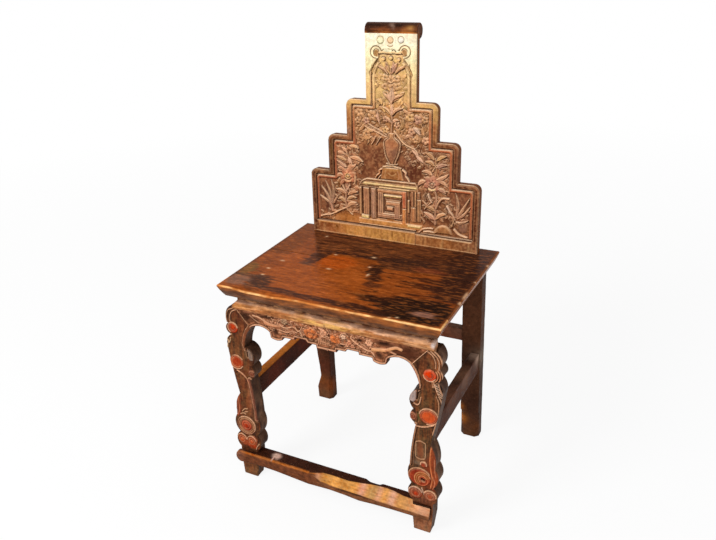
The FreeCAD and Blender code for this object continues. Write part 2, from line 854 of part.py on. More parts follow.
def leaf(x, rise, side):
    """A pointed leaf from a stem, out and up."""
    reach = side * leaf_reach_share * carved_leaf_length
    lift = leaf_rise_share * carved_leaf_length
    aside = -side * leaf_rise_share * carved_leaf_width / 2
    above = leaf_reach_share * carved_leaf_width / 2
    corners = [(0, 0), (reach / 2 - aside, lift / 2 - above), (reach, lift),
               (reach / 2 + aside, lift / 2 + above), (0, 0)]
    return standing([(Vector(x + a, 0, seat_height + rise + b),) for a, b in corners])


def plant(x, foot_rise, height, leaf_shares):
    """A stem with its pairs of leaves."""
    forms = [standing_box(x - stem_width / 2, x + stem_width / 2, foot_rise, foot_rise + height)]
    for share in leaf_shares:
        forms += [leaf(x, foot_rise + share * height, side) for side in (-1, 1)]
    return forms


def blossom(x_share, rise_share):
    """A round blossom."""
    return rod(x_share * first_half, back_front_y - overrun, seat_height + rise_share * tower_top,
               blossom_radius, overrun + back_thickness, Vector(0, 1, 0))


def field():
    """What the carver cuts out of the three boards around the standing forms."""
    half = across(field_steps(), back_front_y - overrun, back_front_y + field_depth)
    sunk = half.fuse(mirrored(half)).removeSplitter()
    forms = table_bars()
    forms.append(turned_form(stand_shares, stand_width, table_foot_rise + table_height, stand_height))
    forms.append(turned_form(vase_shares, vase_width, vase_foot_rise, vase_height))
    forms += plant(0, vase_foot_rise + vase_height, spray_height, spray_leaf_shares)
    for share in plant_shares:
        forms += plant(share * first_half, plant_foot_rise, plant_height, plant_leaf_shares)
    forms += [blossom(*shares) for shares in blossom_shares]
    return leaned(sunk.cut(forms))


def back_centre_board(carving):
    low = seat_height - seat_thickness
    high = seat_height + tower_top
    corners = [(tower_half, low), (tower_half, high), (-tower_half, high), (-tower_half, low),
               (tower_half, low)]
    centre = board([(Vector(x, 0, z),) for x, z in corners])
    tongue = leaned(block(*crest_tenon()))
    cuts = [back_dowel(side, rise, joint_clearance) for side in (-1, 1) for rise in back_dowel_rises]
    cuts += [peg_hole(back_peg_places()[1]), carving]
    return single(centre.fuse([block(*back_tenon(0)), tongue]).cut(cuts))


def crest_tenon():
    """The tongue on top of the tower that enters the crest."""
    front = back_front_y + tenon_shoulder
    return (-crest_tenon_width / 2, crest_tenon_width / 2, front,
            back_front_y + back_thickness - tenon_shoulder,
            seat_height + tower_top - crest_tenon_height, seat_height + tower_top + crest_tenon_height)


def tier_corner(half, top):
    """The upper outer corner of a tier, rounded."""
    r = tier_corner_radius
    near = r - r * math.sqrt(0.5)
    z = seat_height + top
    return [(Vector(half, 0, z - r),),
            (Vector(half - near, 0, z - near), Vector(half - r, 0, z))]


def back_wing(side, carving):
    """A wing: three tiers beside the centre board, drawn on the right."""
    low = seat_height - seat_thickness
    steps = [(Vector(tower_half, 0, low),), (Vector(first_half, 0, low),)]
    steps += tier_corner(first_half, first_tier_rise)
    steps += [(Vector(second_half, 0, seat_height + first_tier_rise),)]
    steps += tier_corner(second_half, second_top)
    steps += [(Vector(third_half, 0, seat_height + second_top),)]
    steps += tier_corner(third_half, third_top)
    steps += [(Vector(tower_half, 0, seat_height + third_top),), steps[0]]
    wing = board(steps).fuse(block(*back_tenon(wing_tenon_middle)))
    cuts = [back_dowel(1, rise, joint_clearance) for rise in back_dowel_rises]
    cuts.append(peg_hole(back_peg_places()[2]))
    wing = wing.cut(cuts)
    if side < 0:
        wing = mirrored(wing)
    return single(wing.cut(carving))


def crest_scroll():
    """Roll that sits over the top of the tower and hangs down behind it."""
    centre_y = back_front_y + crest_radius
    centre_z = seat_height + crest_centre
    roll = rod(-tower_half, centre_y, centre_z, crest_radius, tower_width, Vector(1, 0, 0))
    housing = block(-seat_width, seat_width, back_front_y - overrun,
                    back_front_y + back_thickness + joint_clearance,
                    seat_height, seat_height + tower_top)
    return single(leaned(roll.cut([housing, grown(*crest_tenon())])))


def crest_back_y():
    """The rearmost point of the crest."""
    return (back_front_y + crest_radius * math.cos(rake) + crest_centre * math.sin(rake)
            + crest_radius)


def pieces():
    """Every piece by name: one solid each, or a list for a group of like pegs."""
    right_leg = front_leg()
    stretcher = side_stretcher()
    rail = side_rail()
    carving = field()
    dowels = [back_dowel(side, rise, 0) for side in (-1, 1) for rise in back_dowel_rises]
    return {
        "seat_front_board": [seat_board(-overrun, front_board_depth)],
        "seat_rear_board": [seat_board(front_board_depth, seat_depth + overrun)],
        "seat_batten_left": [seat_batten(-1)],
        "seat_batten_right": [seat_batten(1)],
        "seat_dowels": [seat_dowel(i, 0) for i in range(seat_dowel_count)],
        "front_waist": [front_waist()],
        "front_apron": [front_apron()],
        "front_leg_left": [mirrored(right_leg)],
        "front_leg_right": [right_leg],
        "rear_leg_left": [mirrored(rear_leg(True))],
        "rear_leg_right": [rear_leg(False)],
        "side_rail_left": [mirrored(rail)],
        "side_rail_right": [rail],
        "rear_rail": [rear_rail()],
        "side_stretcher_left": [mirrored(stretcher)],
        "side_stretcher_right": [stretcher],
        "rear_stretcher": [rear_stretcher()],
        "foot_rail": [foot_rail()],
        "back_centre_board": [back_centre_board(carving)],
        "back_wing_left": [back_wing(-1, carving)],
        "back_wing_right": [back_wing(1, carving)],
        "crest_scroll": [crest_scroll()],
        "back_dowels": dowels,
        "back_tenon_pegs": pegs(back_peg_places()),
        "stretcher_pegs": both_sides(stretcher_pegs()),
        "rail_pegs": both_sides(pegs(rail_peg_places())),
        "foot_rail_pegs": both_sides(pegs(foot_peg_places())),
    }


os.makedirs("parts", exist_ok=True)
middle = Vector(0, -(foot_rail_front_y + crest_back_y()) / 2, 0)
for name, solids in pieces().items():
    moved = []
    for solid in solids:
        placed = solid.copy()
        placed.translate(middle)
        moved.append(placed)
    shape = moved[0] if len(moved) == 1 else Part.makeCompound(moved)
    shape.exportStep("parts/" + name + ".step")
    print(name, len(shape.Solids), round(shape.Volume), shape.isValid())
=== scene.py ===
from math import acos, asin, atan2, cos, pi, radians, sin, sqrt, tan, tau

import bmesh
import bpy
import numpy as np
from mathutils import Matrix, Vector


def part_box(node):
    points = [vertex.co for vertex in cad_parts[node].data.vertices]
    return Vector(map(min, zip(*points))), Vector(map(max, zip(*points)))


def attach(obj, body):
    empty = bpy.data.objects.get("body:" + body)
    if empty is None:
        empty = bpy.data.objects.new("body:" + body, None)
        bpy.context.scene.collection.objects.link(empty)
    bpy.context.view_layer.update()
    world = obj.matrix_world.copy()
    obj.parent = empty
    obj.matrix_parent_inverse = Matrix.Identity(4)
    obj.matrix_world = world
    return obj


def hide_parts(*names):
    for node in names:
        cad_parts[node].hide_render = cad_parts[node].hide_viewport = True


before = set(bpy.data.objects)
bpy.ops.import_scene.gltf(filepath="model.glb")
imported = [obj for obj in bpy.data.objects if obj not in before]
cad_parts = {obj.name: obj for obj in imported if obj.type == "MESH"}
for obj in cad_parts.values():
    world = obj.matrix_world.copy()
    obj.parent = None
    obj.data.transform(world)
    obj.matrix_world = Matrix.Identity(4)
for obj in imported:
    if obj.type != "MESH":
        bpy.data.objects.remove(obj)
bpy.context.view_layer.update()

# The two front legs: one thick plank each, sawn to an S, carved on the face with discs, scrolls and a
# ribbed strap, then lacquered dark brown with red discs. A post behind the waist strip carries the seat.
seat_front_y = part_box("seat_front_board")[0].y
leg_height = 441
leg_depth = 37
leg_lean = 27 / leg_height
leg_foot_forward = 15
foot_height = 40
foot_rear_depths = (14, 24.45)
leg_post = ((198, 31), (230, 31), (230, 48.9), (198, 48.9))
post_low, post_high = leg_height - 30, 470
leg_step = 1
leg_columns = 76
leg_canvas = (184, 262, -2, 444, 0.7, -2.3)
leg_carving_gain = 1.3
outline_slack = 0.004
side_shares = np.array([0.04, 0.15, 0.35, 0.6, 0.8, 0.93])
corner_round = 1.6
arris_round = 2.2
leg_outside = [(240, 0), (244, 40), (244, 75), (254, 96.1, 243, 116.9), (255, 141.1, 247, 164.1),
    (247.5, 191.8, 235, 221.8), (248.6, 284.9, 258, 340), (257, 358.1, 245, 373.1), (258, 385.9, 251, 400),
    (256, 417.2, 245, 441)]
leg_inside = [(202, 0), (198, 40.1), (198, 75), (187, 96.1, 195, 115.1), (186, 139.8, 191, 164.9),
    (195, 215.2, 203, 265), (190, 284, 197, 299), (188, 324.1, 205, 346.1), (211, 346.2),
    (204, 376.2, 190, 400), (226, 441)]
side_brown = (25, 16, 11.5)
side_grey = (52, 38, 29)
lacquer_red = (79, 20, 0)
deep_red = (40, 17, 10)
pale_rib = (82, 62, 49)
worn_orange = (70, 38, 19)
shadow_brown = (13, 6, 3.5)
silver_grey = (62, 56, 54)
olive_brown = (38, 28, 17)


def linear(colour):
    """A colour in linear light, from its red, green and blue in per cent."""
    c = np.array(colour, float) / 100
    return np.where(c < 0.04045, c / 12.92, ((c + 0.055) / 1.055) ** 2.4)


def held(value):
    """A value kept between 0 and 1."""
    return np.clip(value, 0, 1)


def bell(value, middle, reach, power=2):
    """1 at a middle value, falling softly to 0 on both sides."""
    return np.exp(-((value - middle) / reach) ** power)


def mixed(under, over, amount):
    """Colours in linear light with others laid over them."""
    return under * (1 - amount) + over * amount


def arc(start, through, end, count=14):
    """Points on the arc from start, through a point, to end."""
    a, m, b = (complex(*p) for p in (start, through, end))
    w = (b - a) / (m - a)
    centre = a + (b - a) * (w - abs(w) ** 2) / (2j * w.imag) / w
    turn = np.angle((b - centre) / (a - centre))
    points = centre + (a - centre) * np.exp(1j * turn * np.arange(1, count + 1) / count)
    return [(p.real, p.imag) for p in points]


def outline(steps):
    """Points of an outline given as corners, and as arcs through one point to another."""
    points = [steps[0]]
    for step in steps[1:]:
        points += [step] if len(step) == 2 else arc(points[-1], step[:2], step[2:])
    return np.array(points, float)


def bent(points, count=5):
    """A smooth line through a few points, given as pairs or as numbers in a row."""
    p = np.array(points, float).reshape(-1, 2)
    if len(p) < 3:
        return p
    p = np.vstack([2 * p[0] - p[1], p, 2 * p[-1] - p[-2]])
    t = np.linspace(0, 1, count, endpoint=False)[:, None]
    a, b, c, d = (p[n:n + len(p) - 3, None] for n in range(4))
    runs = 2 * b + (c - a) * t + (2 * a - 5 * b + 4 * c - d) * t ** 2 + (3 * b - a - 3 * c + d) * t ** 3
    return np.vstack([0.5 * runs.reshape(-1, 2), p[-2:-1]])


def cloud(u, v, size, seed):
    """Smooth seeded unevenness over a surface, between about -1 and 1."""
    lattice = np.random.default_rng(seed).uniform(-1, 1, (97, 89))
    total = 0
    for share, fold in ((0.62, 1), (0.38, 2.7)):
        a, b = u / size * fold, v / size * fold
        i, j = np.floor(a).astype(int), np.floor(b).astype(int)
        f, g = ((3 - 2 * t) * t ** 2 for t in (a - i, b - j))
        near, far = (lattice[i % 97, (j + k) % 89] * (1 - f) + lattice[(i + 1) % 97,
            (j + k) % 89] * f for k in (0, 1))
        total = total + 1.3 * share * (near * (1 - g) + far * g)
    return total


whole = np.s_[:, :]


class CarvedFace:
    """A flat face while it is carved and painted, seen from the front, with its points in mm."""

    def __init__(self, x0, x1, z0, z1, step, level, colour):
        self.x0, self.z0, self.step, self.level = x0, z0, step, level
        self.x, self.z = np.meshgrid(np.arange(x0, x1 + step, step), np.arange(z0, z1 + step, step))
        self.height = np.full(self.x.shape, float(level))
        self.paint = np.tile(linear(colour), self.x.shape + (1,))

    def along(self, line, reach):
        """The part of the face near a line, each point's distance from it and share of the way."""
        line = np.array(line, float).reshape(-1, 2)
        (a0, b0), (a1, b1) = line.min(0) - reach, line.max(0) + reach
        rows = slice(max(0, int((b0 - self.z0) / self.step)), max(0, int((b1 - self.z0) / self.step) + 2))
        cols = slice(max(0, int((a0 - self.x0) / self.step)), max(0, int((a1 - self.x0) / self.step) + 2))
        x, z = self.x[rows, cols], self.z[rows, cols]
        lengths = np.maximum(np.hypot(*np.diff(line, axis=0).T), 1e-6)
        starts = np.concatenate([[0], np.cumsum(lengths)])
        gap, way = np.full(x.shape, 1e9), np.zeros(x.shape)
        for a, b, start, length in zip(line[:-1], line[1:], starts, lengths):
            t = held(((x - a[0]) * (b[0] - a[0]) + (z - a[1]) * (b[1] - a[1])) / length ** 2)
            d = np.hypot(x - a[0] - t * (b[0] - a[0]), z - a[1] - t * (b[1] - a[1]))
            nearer = d < gap
            gap[nearer] = d[nearer]
            way[nearer] = ((start + t * length) / starts[-1])[nearer]
        return (rows, cols), gap, way

    def blend(self, part, amount, light):
        """Mixes colours in linear light into part of the face."""
        self.paint[part] = mixed(self.paint[part], light, amount[..., None])

    def tint(self, part, amount, colour):
        """Mixes one colour into part of the face."""
        if colour is not None:
            self.blend(part, held(amount), linear(colour))

    def raise_to(self, part, shape, rise, colour):
        """Raises part of the face from the ground by a rounded shape, 1 at its top and 0 at its edge."""
        top = self.level + rise * np.sqrt(held(shape))
        self.height[part] = np.where(shape > 0, np.maximum(self.height[part], top), self.height[part])
        self.tint(part, shape * 3, colour)

    def ridge(self, points, width, rise, colour=None, taper=0.4):
        """A rounded stem, bead or strap along a line."""
        part, gap, way = self.along(bent(points), width)
        self.raise_to(part, 1 - (gap / (width / 2 * (1 - taper * way))) ** 2, rise, colour)

    def leaf(self, points, width, rise, colour=None):
        """A pointed leaf or petal along a line, with a cut vein."""
        part, gap, way = self.along(bent(points), width)
        half = width / 2 * np.sin(np.pi * np.clip(way, 0.04, 0.97) ** 0.75) ** 0.7
        self.raise_to(part, 1 - (gap / half) ** 2, rise, colour)
        self.height[part] -= 0.25 * rise * bell(gap, 0, 0.7) * (way > 0.1) * (way < 0.9)

    def ridges(self, taper, *rows):
        """Ridges, each as its width, rise, colour and points."""
        for width, rise, colour, *points in rows:
            self.ridge(points, width, rise, colour, taper)

    def leaves(self, *rows):
        """Leaves, each as its width, rise, colour and points."""
        for width, rise, colour, *points in rows:
            self.leaf(points, width, rise, colour)

    def groove(self, points, width, depth, colour=None, smooth=True):
        """A cut along a line."""
        part, gap, _ = self.along(bent(points) if smooth else points, width)
        cut = held(1.2 - 1.2 * (gap / (width / 2)) ** 2)
        self.height[part] -= depth * cut
        self.tint(part, cut, colour)

    def bloom(self, x, z, radius, petals, rise, colour=None, turn=0, heart=0.32):
        """A round flower with notched petals and a raised heart."""
        part, gap, _ = self.along([(x - 0.01, z), (x + 0.01, z)], radius)
        angle = np.arctan2(self.z[part] - z, self.x[part] - x)
        lobe = np.abs(np.cos(petals * (angle - turn) / 2))
        share = gap / (radius * (0.72 + 0.28 * lobe))
        shape = (1 - share ** 4) * (0.55 + 0.45 * lobe * held(share * 2))
        shape = np.where(share < heart, 1 - 0.5 * (share / heart) ** 2, shape)
        ring = bell(share, heart, 0.1)
        self.raise_to(part, np.where(share < 1, shape, 0), rise, colour)
        self.height[part] -= 0.5 * rise * ring * (share < 1)

    def disc(self, x, z, radius, rise, colour, rings=()):
        """A flat disc with ring cuts at the given shares of its radius."""
        part, gap, _ = self.along([(x - 0.01, z), (x + 0.01, z)], radius)
        share = gap / radius
        self.raise_to(part, held((1 - share) * 4), rise, colour)
        for ring in rings:
            self.height[part] -= 0.6 * rise * np.exp(-((share - ring) * radius / 0.9) ** 2)

    def plate(self, corners, rise, colour=None, slope=1.2):
        """A flat raised shape with steep sides."""
        corners = np.array(corners, float).reshape(-1, 2)
        closed = np.vstack([corners, corners[:1]])
        part, gap, _ = self.along(closed, 1)
        x, z = self.x[part], self.z[part]
        odd = np.zeros(x.shape, bool)
        for a, b in zip(closed[:-1], closed[1:]):
            if a[1] != b[1]:
                crossing = (a[1] > z) != (b[1] > z)
                odd ^= crossing & (x < a[0] + (z - a[1]) / (b[1] - a[1]) * (b[0] - a[0]))
        self.raise_to(part, np.where(odd, np.clip(gap / slope, 0.02, 1), 0), rise, None)
        self.tint(part, odd * 1, colour)

    def wash(self, *patches):
        """Soft patches: each one's colour, middle, width, height and strength."""
        for colour, x, z, width, height, amount in patches:
            u, v = (self.x - x) / (width / 2), (self.z - z) / (height / 2)
            self.tint(whole, amount * np.exp(-(u ** 2 + v ** 2) ** 1.5), colour)

    def mottle(self, light, dark, size, amount, seed, tall=1):
        """Uneven patches of worn light and dirty dark colour."""
        uneven = cloud(self.x, self.z / tall, size, seed)
        self.tint(whole, amount * held(2 * uneven), light)
        self.tint(whole, amount * held(-2 * uneven), dark)

    def rim(self, edge, strip, line, wide=4, bead=1.1):
        """A strip along an edge, a bead and a shallow cut inside it."""
        part, gap, _ = self.along(edge, wide + 5)
        self.raise_to(part, held((wide - gap) / 1.5), 1.7, strip)
        self.raise_to(part, 1 - ((gap - wide) / bead) ** 2, 2.2, line)
        cut = bell(gap - wide - bead, 1.1, 1.3)
        self.height[part] -= 0.6 * cut
        self.tint(part, 0.55 * cut, shadow_brown)

    def softened(self, values, reach):
        """Heights, or one colour channel, smoothed over a reach."""
        size = max(1, int(reach / self.step))
        kernel = np.hanning(2 * size + 3)[1:-1]
        kernel /= kernel.sum()
        wide = np.pad(values, size, mode="edge")
        wide = np.apply_along_axis(lambda row: np.convolve(row, kernel, "valid"), 1, wide)
        return np.apply_along_axis(lambda row: np.convolve(row, kernel, "valid"), 0, wide)

    def wear_and_painted_shading(self, light, dark, strength=1, reach=3):
        """Rubs the places that stand above their surroundings light, paints those below them dark as shade,
        and paints slopes facing up light and slopes facing down dark, as lit from above.
        """
        high = self.height - self.softened(self.height, reach)
        # painted light and shade: slopes facing up are lit, slopes facing down are shaded
        upward = -np.gradient(self.height, self.step, axis=0)
        worn = strength * (0.55 * high + 0.45 * upward)
        self.tint(whole, np.clip(worn, 0, 0.75), light)
        self.tint(whole, np.clip(-1.1 * worn, 0, 0.85), dark)

    def round_edge(self, line, radius):
        """Rounds the arris along an outline."""
        part, gap, _ = self.along(line, 1)
        near = np.clip(radius - gap, 0, radius)
        self.height[part] -= radius - np.sqrt(radius ** 2 - near ** 2 * 0.999)

    def sample(self, x, z):
        """Height and colour at any points."""
        u = np.clip((x - self.x0) / self.step, 0, self.x.shape[1] - 1.001)
        v = np.clip((z - self.z0) / self.step, 0, self.x.shape[0] - 1.001)
        i, j = v.astype(int), u.astype(int)
        fu, fv = u - j, v - i
        found = []
        for grid in (self.height[..., None], self.paint):
            low = grid[i, j] * (1 - fu)[..., None] + grid[i, j + 1] * fu[..., None]
            high = grid[i + 1, j] * (1 - fu)[..., None] + grid[i + 1, j + 1] * fu[..., None]
            found.append(low * (1 - fv)[..., None] + high * fv[..., None])
        return found[0][..., 0], found[1]


def skin(loops, colours):
    """Points, faces and colours of a closed skin over a row of closed loops."""
    count, size = loops.shape[:2]
    i, j = np.meshgrid(np.arange(count - 1), np.arange(size), indexing="ij")
    k = (j + 1) % size
    faces = np.stack([i * size + j, i * size + k, (i + 1) * size + k, (i + 1) * size + j], -1)
    faces = faces.reshape(-1, 4).tolist()
    faces += [list(range(size))[::-1], [(count - 1) * size + n for n in range(size)]]
    return loops.reshape(-1, 3), faces, np.broadcast_to(colours, loops.shape).reshape(-1, 3)


def assemble(name, parts, node, slot, *materials, sharp_degrees=38, face_kinds=None):
    """Joins parts into one piece in the chair's frame and lets it stand for its CAD node."""
    points, faces, colours, first = [], [], [], 0
    for part_points, part_faces, part_colours in parts:
        points.append(part_points)
        colours.append(part_colours)
        faces += [[v + first for v in face] for face in part_faces]
        first += len(part_points)
    mesh = bpy.data.meshes.new(name)
    at = np.vstack(points) / 1000 + np.array([0, seat_front_y, 0])
    mesh.from_pydata(at.tolist(), [], faces)
    paint = mesh.attributes.new("paint", "FLOAT_COLOR", "POINT")
    shades = held(np.vstack(colours))
    paint.data.foreach_set("color", np.hstack([shades, np.ones((len(shades), 1))]).ravel())
    if face_kinds is not None:
        mesh.polygons.foreach_set("material_index", np.array(face_kinds, np.int32))
    tidy = bmesh.new()
    tidy.from_mesh(mesh)
    bmesh.ops.recalc_face_normals(tidy, faces=tidy.faces)
    tidy.to_mesh(mesh)
    tidy.free()
    mesh.polygons.foreach_set("use_smooth", np.ones(len(mesh.polygons), bool))
    mesh.set_sharp_from_angle(angle=radians(sharp_degrees))
    piece = bpy.data.objects.new(name, mesh)
    bpy.context.scene.collection.objects.link(piece)
    for material in materials:
        mesh.materials.append(material)
    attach(piece, "root")
    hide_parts(node)


def node_maker(tree):
    """A way to add nodes to a tree, with their inputs linked or set."""
    def add(kind, inputs=None, **settings):
        made = tree.nodes.new("ShaderNode" + kind)
        for key, value in settings.items():
            setattr(made, key, value)
        for key, value in (inputs or {}).items():
            if isinstance(value, bpy.types.NodeSocket):
                tree.links.new(value, made.inputs[key])
            else:
                made.inputs[key].default_value = value
        return made
    return add


def wood_nodes(name):
    """A new material, a way to add its nodes, and its surface shader."""
    material = bpy.data.materials.new(name)
    material.use_nodes = True
    tree = material.node_tree
    tree.nodes.clear()
    add = node_maker(tree)
    surface = add("BsdfPrincipled")
    add("OutputMaterial", {"Surface": surface.outputs["BSDF"]})
    return material, add, surface, tree.links


def lacquered(name, grain, streaks=0.35, rough=(0.35, 0.6), pits=0.25, fleck=(75, 60, 45), specular=0.03,
        blotch=(0.75, 1.2), blotch_scale=110, chip_from=0.62):
    """Old lacquer over wood: the painted colour, streaked along the grain, mottled, scratched and pitted."""
    material, add, surface, link = wood_nodes(name)
    place = add("TexCoord").outputs["Object"]
    stretched = add("Mapping", {"Vector": place, "Scale": grain}).outputs["Vector"]
    fibre = add("TexNoise", {"Vector": stretched, "Scale": 1, "Detail": 6, "Roughness": 0.65})
    mottle = add("TexNoise", {"Vector": place, "Scale": blotch_scale, "Detail": 5, "Roughness": 0.65})
    speck = add("TexNoise", {"Vector": place, "Scale": 420, "Detail": 3, "Roughness": 0.7})

    def spread(noise, low, high, start=0.3, end=0.7):
        """The part of a noise between two levels, stretched from low to high."""
        return add("MapRange", {"Value": noise.outputs["Fac"], "From Min": start, "From Max": end,
            "To Min": low, "To Max": high}).outputs["Result"]

    both = add("Math", {0: spread(fibre, 1 - streaks, 1 + streaks * 0.6), 1: spread(mottle, *blotch)},
               operation="MULTIPLY")
    paint = add("Attribute", attribute_name="paint")
    colour = add("VectorMath", {0: paint.outputs["Color"], "Scale": both.outputs[0]}, operation="SCALE")
    chipped = spread(speck, 0, pits, chip_from, chip_from + 0.07)
    final = add("Mix", {0: chipped, 6: colour.outputs[0], 7: (*linear(fleck), 1)}, data_type="RGBA")
    link.new(final.outputs[2], surface.inputs["Base Color"])
    link.new(spread(mottle, *rough), surface.inputs["Roughness"])
    relief = add("Math", {0: fibre.outputs["Fac"], 1: speck.outputs["Fac"]}, operation="ADD")
    bump = add("Bump", {"Height": relief.outputs[0], "Strength": 0.35, "Distance": 0.0006})
    link.new(bump.outputs["Normal"], surface.inputs["Normal"])
    surface.inputs["Specular IOR Level"].default_value = specular
    return material


def oval(x, z, rx, rz, start, finish, count=16):
    """Points on an oval between two angles in degrees."""
    turns = np.radians(np.linspace(start, finish, count))
    return np.stack([x + rx * np.cos(turns), z + rz * np.sin(turns)], -1)


def rib(face, line, colour, cut=0.9, rise=2.2, width=2.4, cut_width=5):
    """A rounded rib standing in a cut."""
    face.groove(line, cut_width, cut, shadow_brown)
    face.ridge(line, width, rise, colour, 0)


def roundel(face, x, z, rx, rz, colour, rims):
    """A domed oval boss with raised rims, each a share of its size, two angles and a colour."""
    face.plate(oval(x, z, rx, rz, 0, 345, 24), 1.9, colour, 3)
    for share, start, finish, rim_colour in rims:
        rib(face, oval(x, z, rx * share, rz * share, start, finish), rim_colour, 0.9, 2.1, 3, 4.5)


def body_of_leg(face, tones, edges):
    """The ground between the motifs, uneven, rubbed lacquer, and the rims of the inner edge."""
    face.wash(*tones)
    face.mottle((56, 29, 14), (13, 6, 3), 6, 0.4, 21, 6)
    face.mottle((42, 31, 18), (20, 10, 6), 11, 0.3, 22)
    for line, edge in zip(([205, 346, 208, 358, 204, 376, 198, 389, 190, 400],
            [203, 266, 198, 238, 195, 215, 192, 190, 191, 165]), edges):
        face.rim(line, *edge)


def scroll_at_knee(face, colour):
    """The scroll and the small disc inside the knee, alike on both legs."""
    face.plate([190, 318, 190, 334, 196, 344, 203, 344, 202, 322, 197, 316], 1.9, colour, 3)
    face.groove([206, 348, 206, 336, 204, 324], 5, 2, shadow_brown)
    face.disc(196, 283, 10, 1.5, (44, 20, 13), (0.5, 0.85))


def carve_right(face):
    """Right leg: ribs, boss and ladder at the knee, a second boss, a panel, and a great coil below."""
    body_of_leg(face, ((olive_brown, 232, 424, 40, 30, 0.5), (olive_brown, 228, 335, 46, 60, 0.5),
        (olive_brown, 215, 240, 36, 70, 0.5), (deep_red, 225, 420, 30, 30, 0.4),
        (deep_red, 205, 375, 16, 60, 0.4), ((46, 36, 27), 212, 195, 34, 60, 0.7),
        (shadow_brown, 232, 330, 20, 60, 0.5), ((64, 44, 32), 221, 18, 70, 60, 0.9),
        (shadow_brown, 214, 26, 20, 20, 0.5), ((46, 26, 18), 221, 80, 80, 34, 0.8)),
        (((54, 31, 20), pale_rib), ((30, 17, 11), (62, 42, 30), 2.5)))
    face.wash(((62, 36, 20), 250, 412, 24, 40, 0.8))
    for points in (
            [225, 437, 236, 430, 242, 418, 243, 404], [232, 439, 245, 428, 250, 416, 250, 402],
            [240, 440, 251, 430, 256, 416, 256, 402]):
        rib(face, points, pale_rib, 0.8)
    for share in (1.5, 1.95, 2.35):
        face.ridge(oval(231, 385, 11.5 * share, 10.5 * share, -75, 42), 2.6, 2,
            worn_orange if share < 2 else pale_rib, 0)
    roundel(face, 231, 385, 13.5, 13, lacquer_red, ((0.98, 190, 330, pale_rib), (0.5, 200, 400, (62, 19, 6))))
    face.plate([241, 372, 249, 376, 262, 348, 254, 338], 0.3, (8, 4, 3))
    for shift in (0, 9):
        face.ridge([(240 + shift, 371), (245 + shift, 357), (252 + shift, 342)], 2.4, 2.2, pale_rib, 0)
    for k in range(5):
        face.ridge([(242 + 2.6 * k, 367 - 6 * k), (250 + 2.6 * k, 363 - 6 * k)], 1.9, 2, (90, 80, 70), 0)
    for points, colour in (
            ([251, 342, 256, 332, 257, 318, 254, 296, 248, 268, 242, 242], pale_rib),
            ([246, 340, 251, 328, 251, 306, 246, 276, 240, 250], (60, 40, 28))):
        rib(face, points, colour)
    scroll_at_knee(face, silver_grey)
    face.ridge([199, 314, 206, 312, 211, 318, 213, 330], 2.6, 2, pale_rib, 0)
    face.groove([206, 294, 208, 284, 206, 272], 4, 0.8, shadow_brown)
    face.wash(((36, 32, 16), 210, 286, 10, 22, 0.9))
    roundel(face, 231, 290, 20.5, 18, (72, 28, 11), ((1, 170, -100, pale_rib), (0.8, 0, 345, (62, 21, 8))))
    face.ridge([242, 273, 228, 266, 213, 262, 203, 263], 3, 2, pale_rib, 0)
    for side in (204, 225):
        face.ridge([(side, 187), (side + 0.5, 205), (side, 223)], 2, 1.6, (66, 55, 42), 0)
    for z in (186, 224):
        face.ridge([(205, z), (214, z + (3 if z > 200 else -3)), (224, z)], 2, 1.6, (60, 44, 32), 0)
    face.wash(((48, 27, 17), 214, 205, 12, 40, 0.8), ((42, 36, 30), 212, 172, 26, 10, 0.7),
        ((50, 20, 10), 240, 150, 34, 90, 0.9))
    face.plate([243, 235, 252, 232, 264, 180, 264, 114, 240, 114, 241, 140, 236, 165, 235, 200], 1.2,
        (52, 23, 12), 4)
    face.ridge([241, 232, 237, 208, 236, 185, 238, 164, 242, 142, 239, 118], 3.4, 2, (80, 40, 18), 0)
    for points in ([246, 190, 247, 165, 250, 148], [243, 148, 248, 132, 244, 116]):
        face.ridge(points, 2, 1.9, (72, 42, 28), 0.2)
    roundel(face, 222, 172, 7.5, 7, (56, 20, 11), ((0.9, -20, 190, pale_rib),))
    roundel(face, 214, 138, 25, 22, (54, 18, 9), ((1, 30, 200, (66, 44, 32)),))
    for share in (9, 13.5, 18):
        face.ridge(oval(221, 135, share, share, 20, 235), 2.2, 2.3, (74, 50, 30) if share != 13.5 else (58,
            42, 20), 0)
    face.ridge(oval(218, 134, 15, 14, 230, 375), 2.4, 2.2, (72, 34, 20), 0)
    face.groove([220, 134, 223, 133], 9, 2.8, shadow_brown)
    roundel(face, 205, 96, 15.5, 14, (54, 22, 13), ((1, 20, 200, (74, 62, 56)), (0.62, 0, 345, (62, 34, 24))))
    face.disc(207, 94, 5.6, 2.1, (66, 20, 7))
    roundel(face, 238, 97, 13.5, 13, (56, 27, 17), ((1, -10, 160, pale_rib), (0.6, 0, 345, (66, 38, 27))))
    face.disc(238, 96, 4.6, 2.1, (60, 26, 14))
    face.ridge([219, 112, 222, 104, 224, 96], 3, 2.2, (70, 62, 58), 0.6)


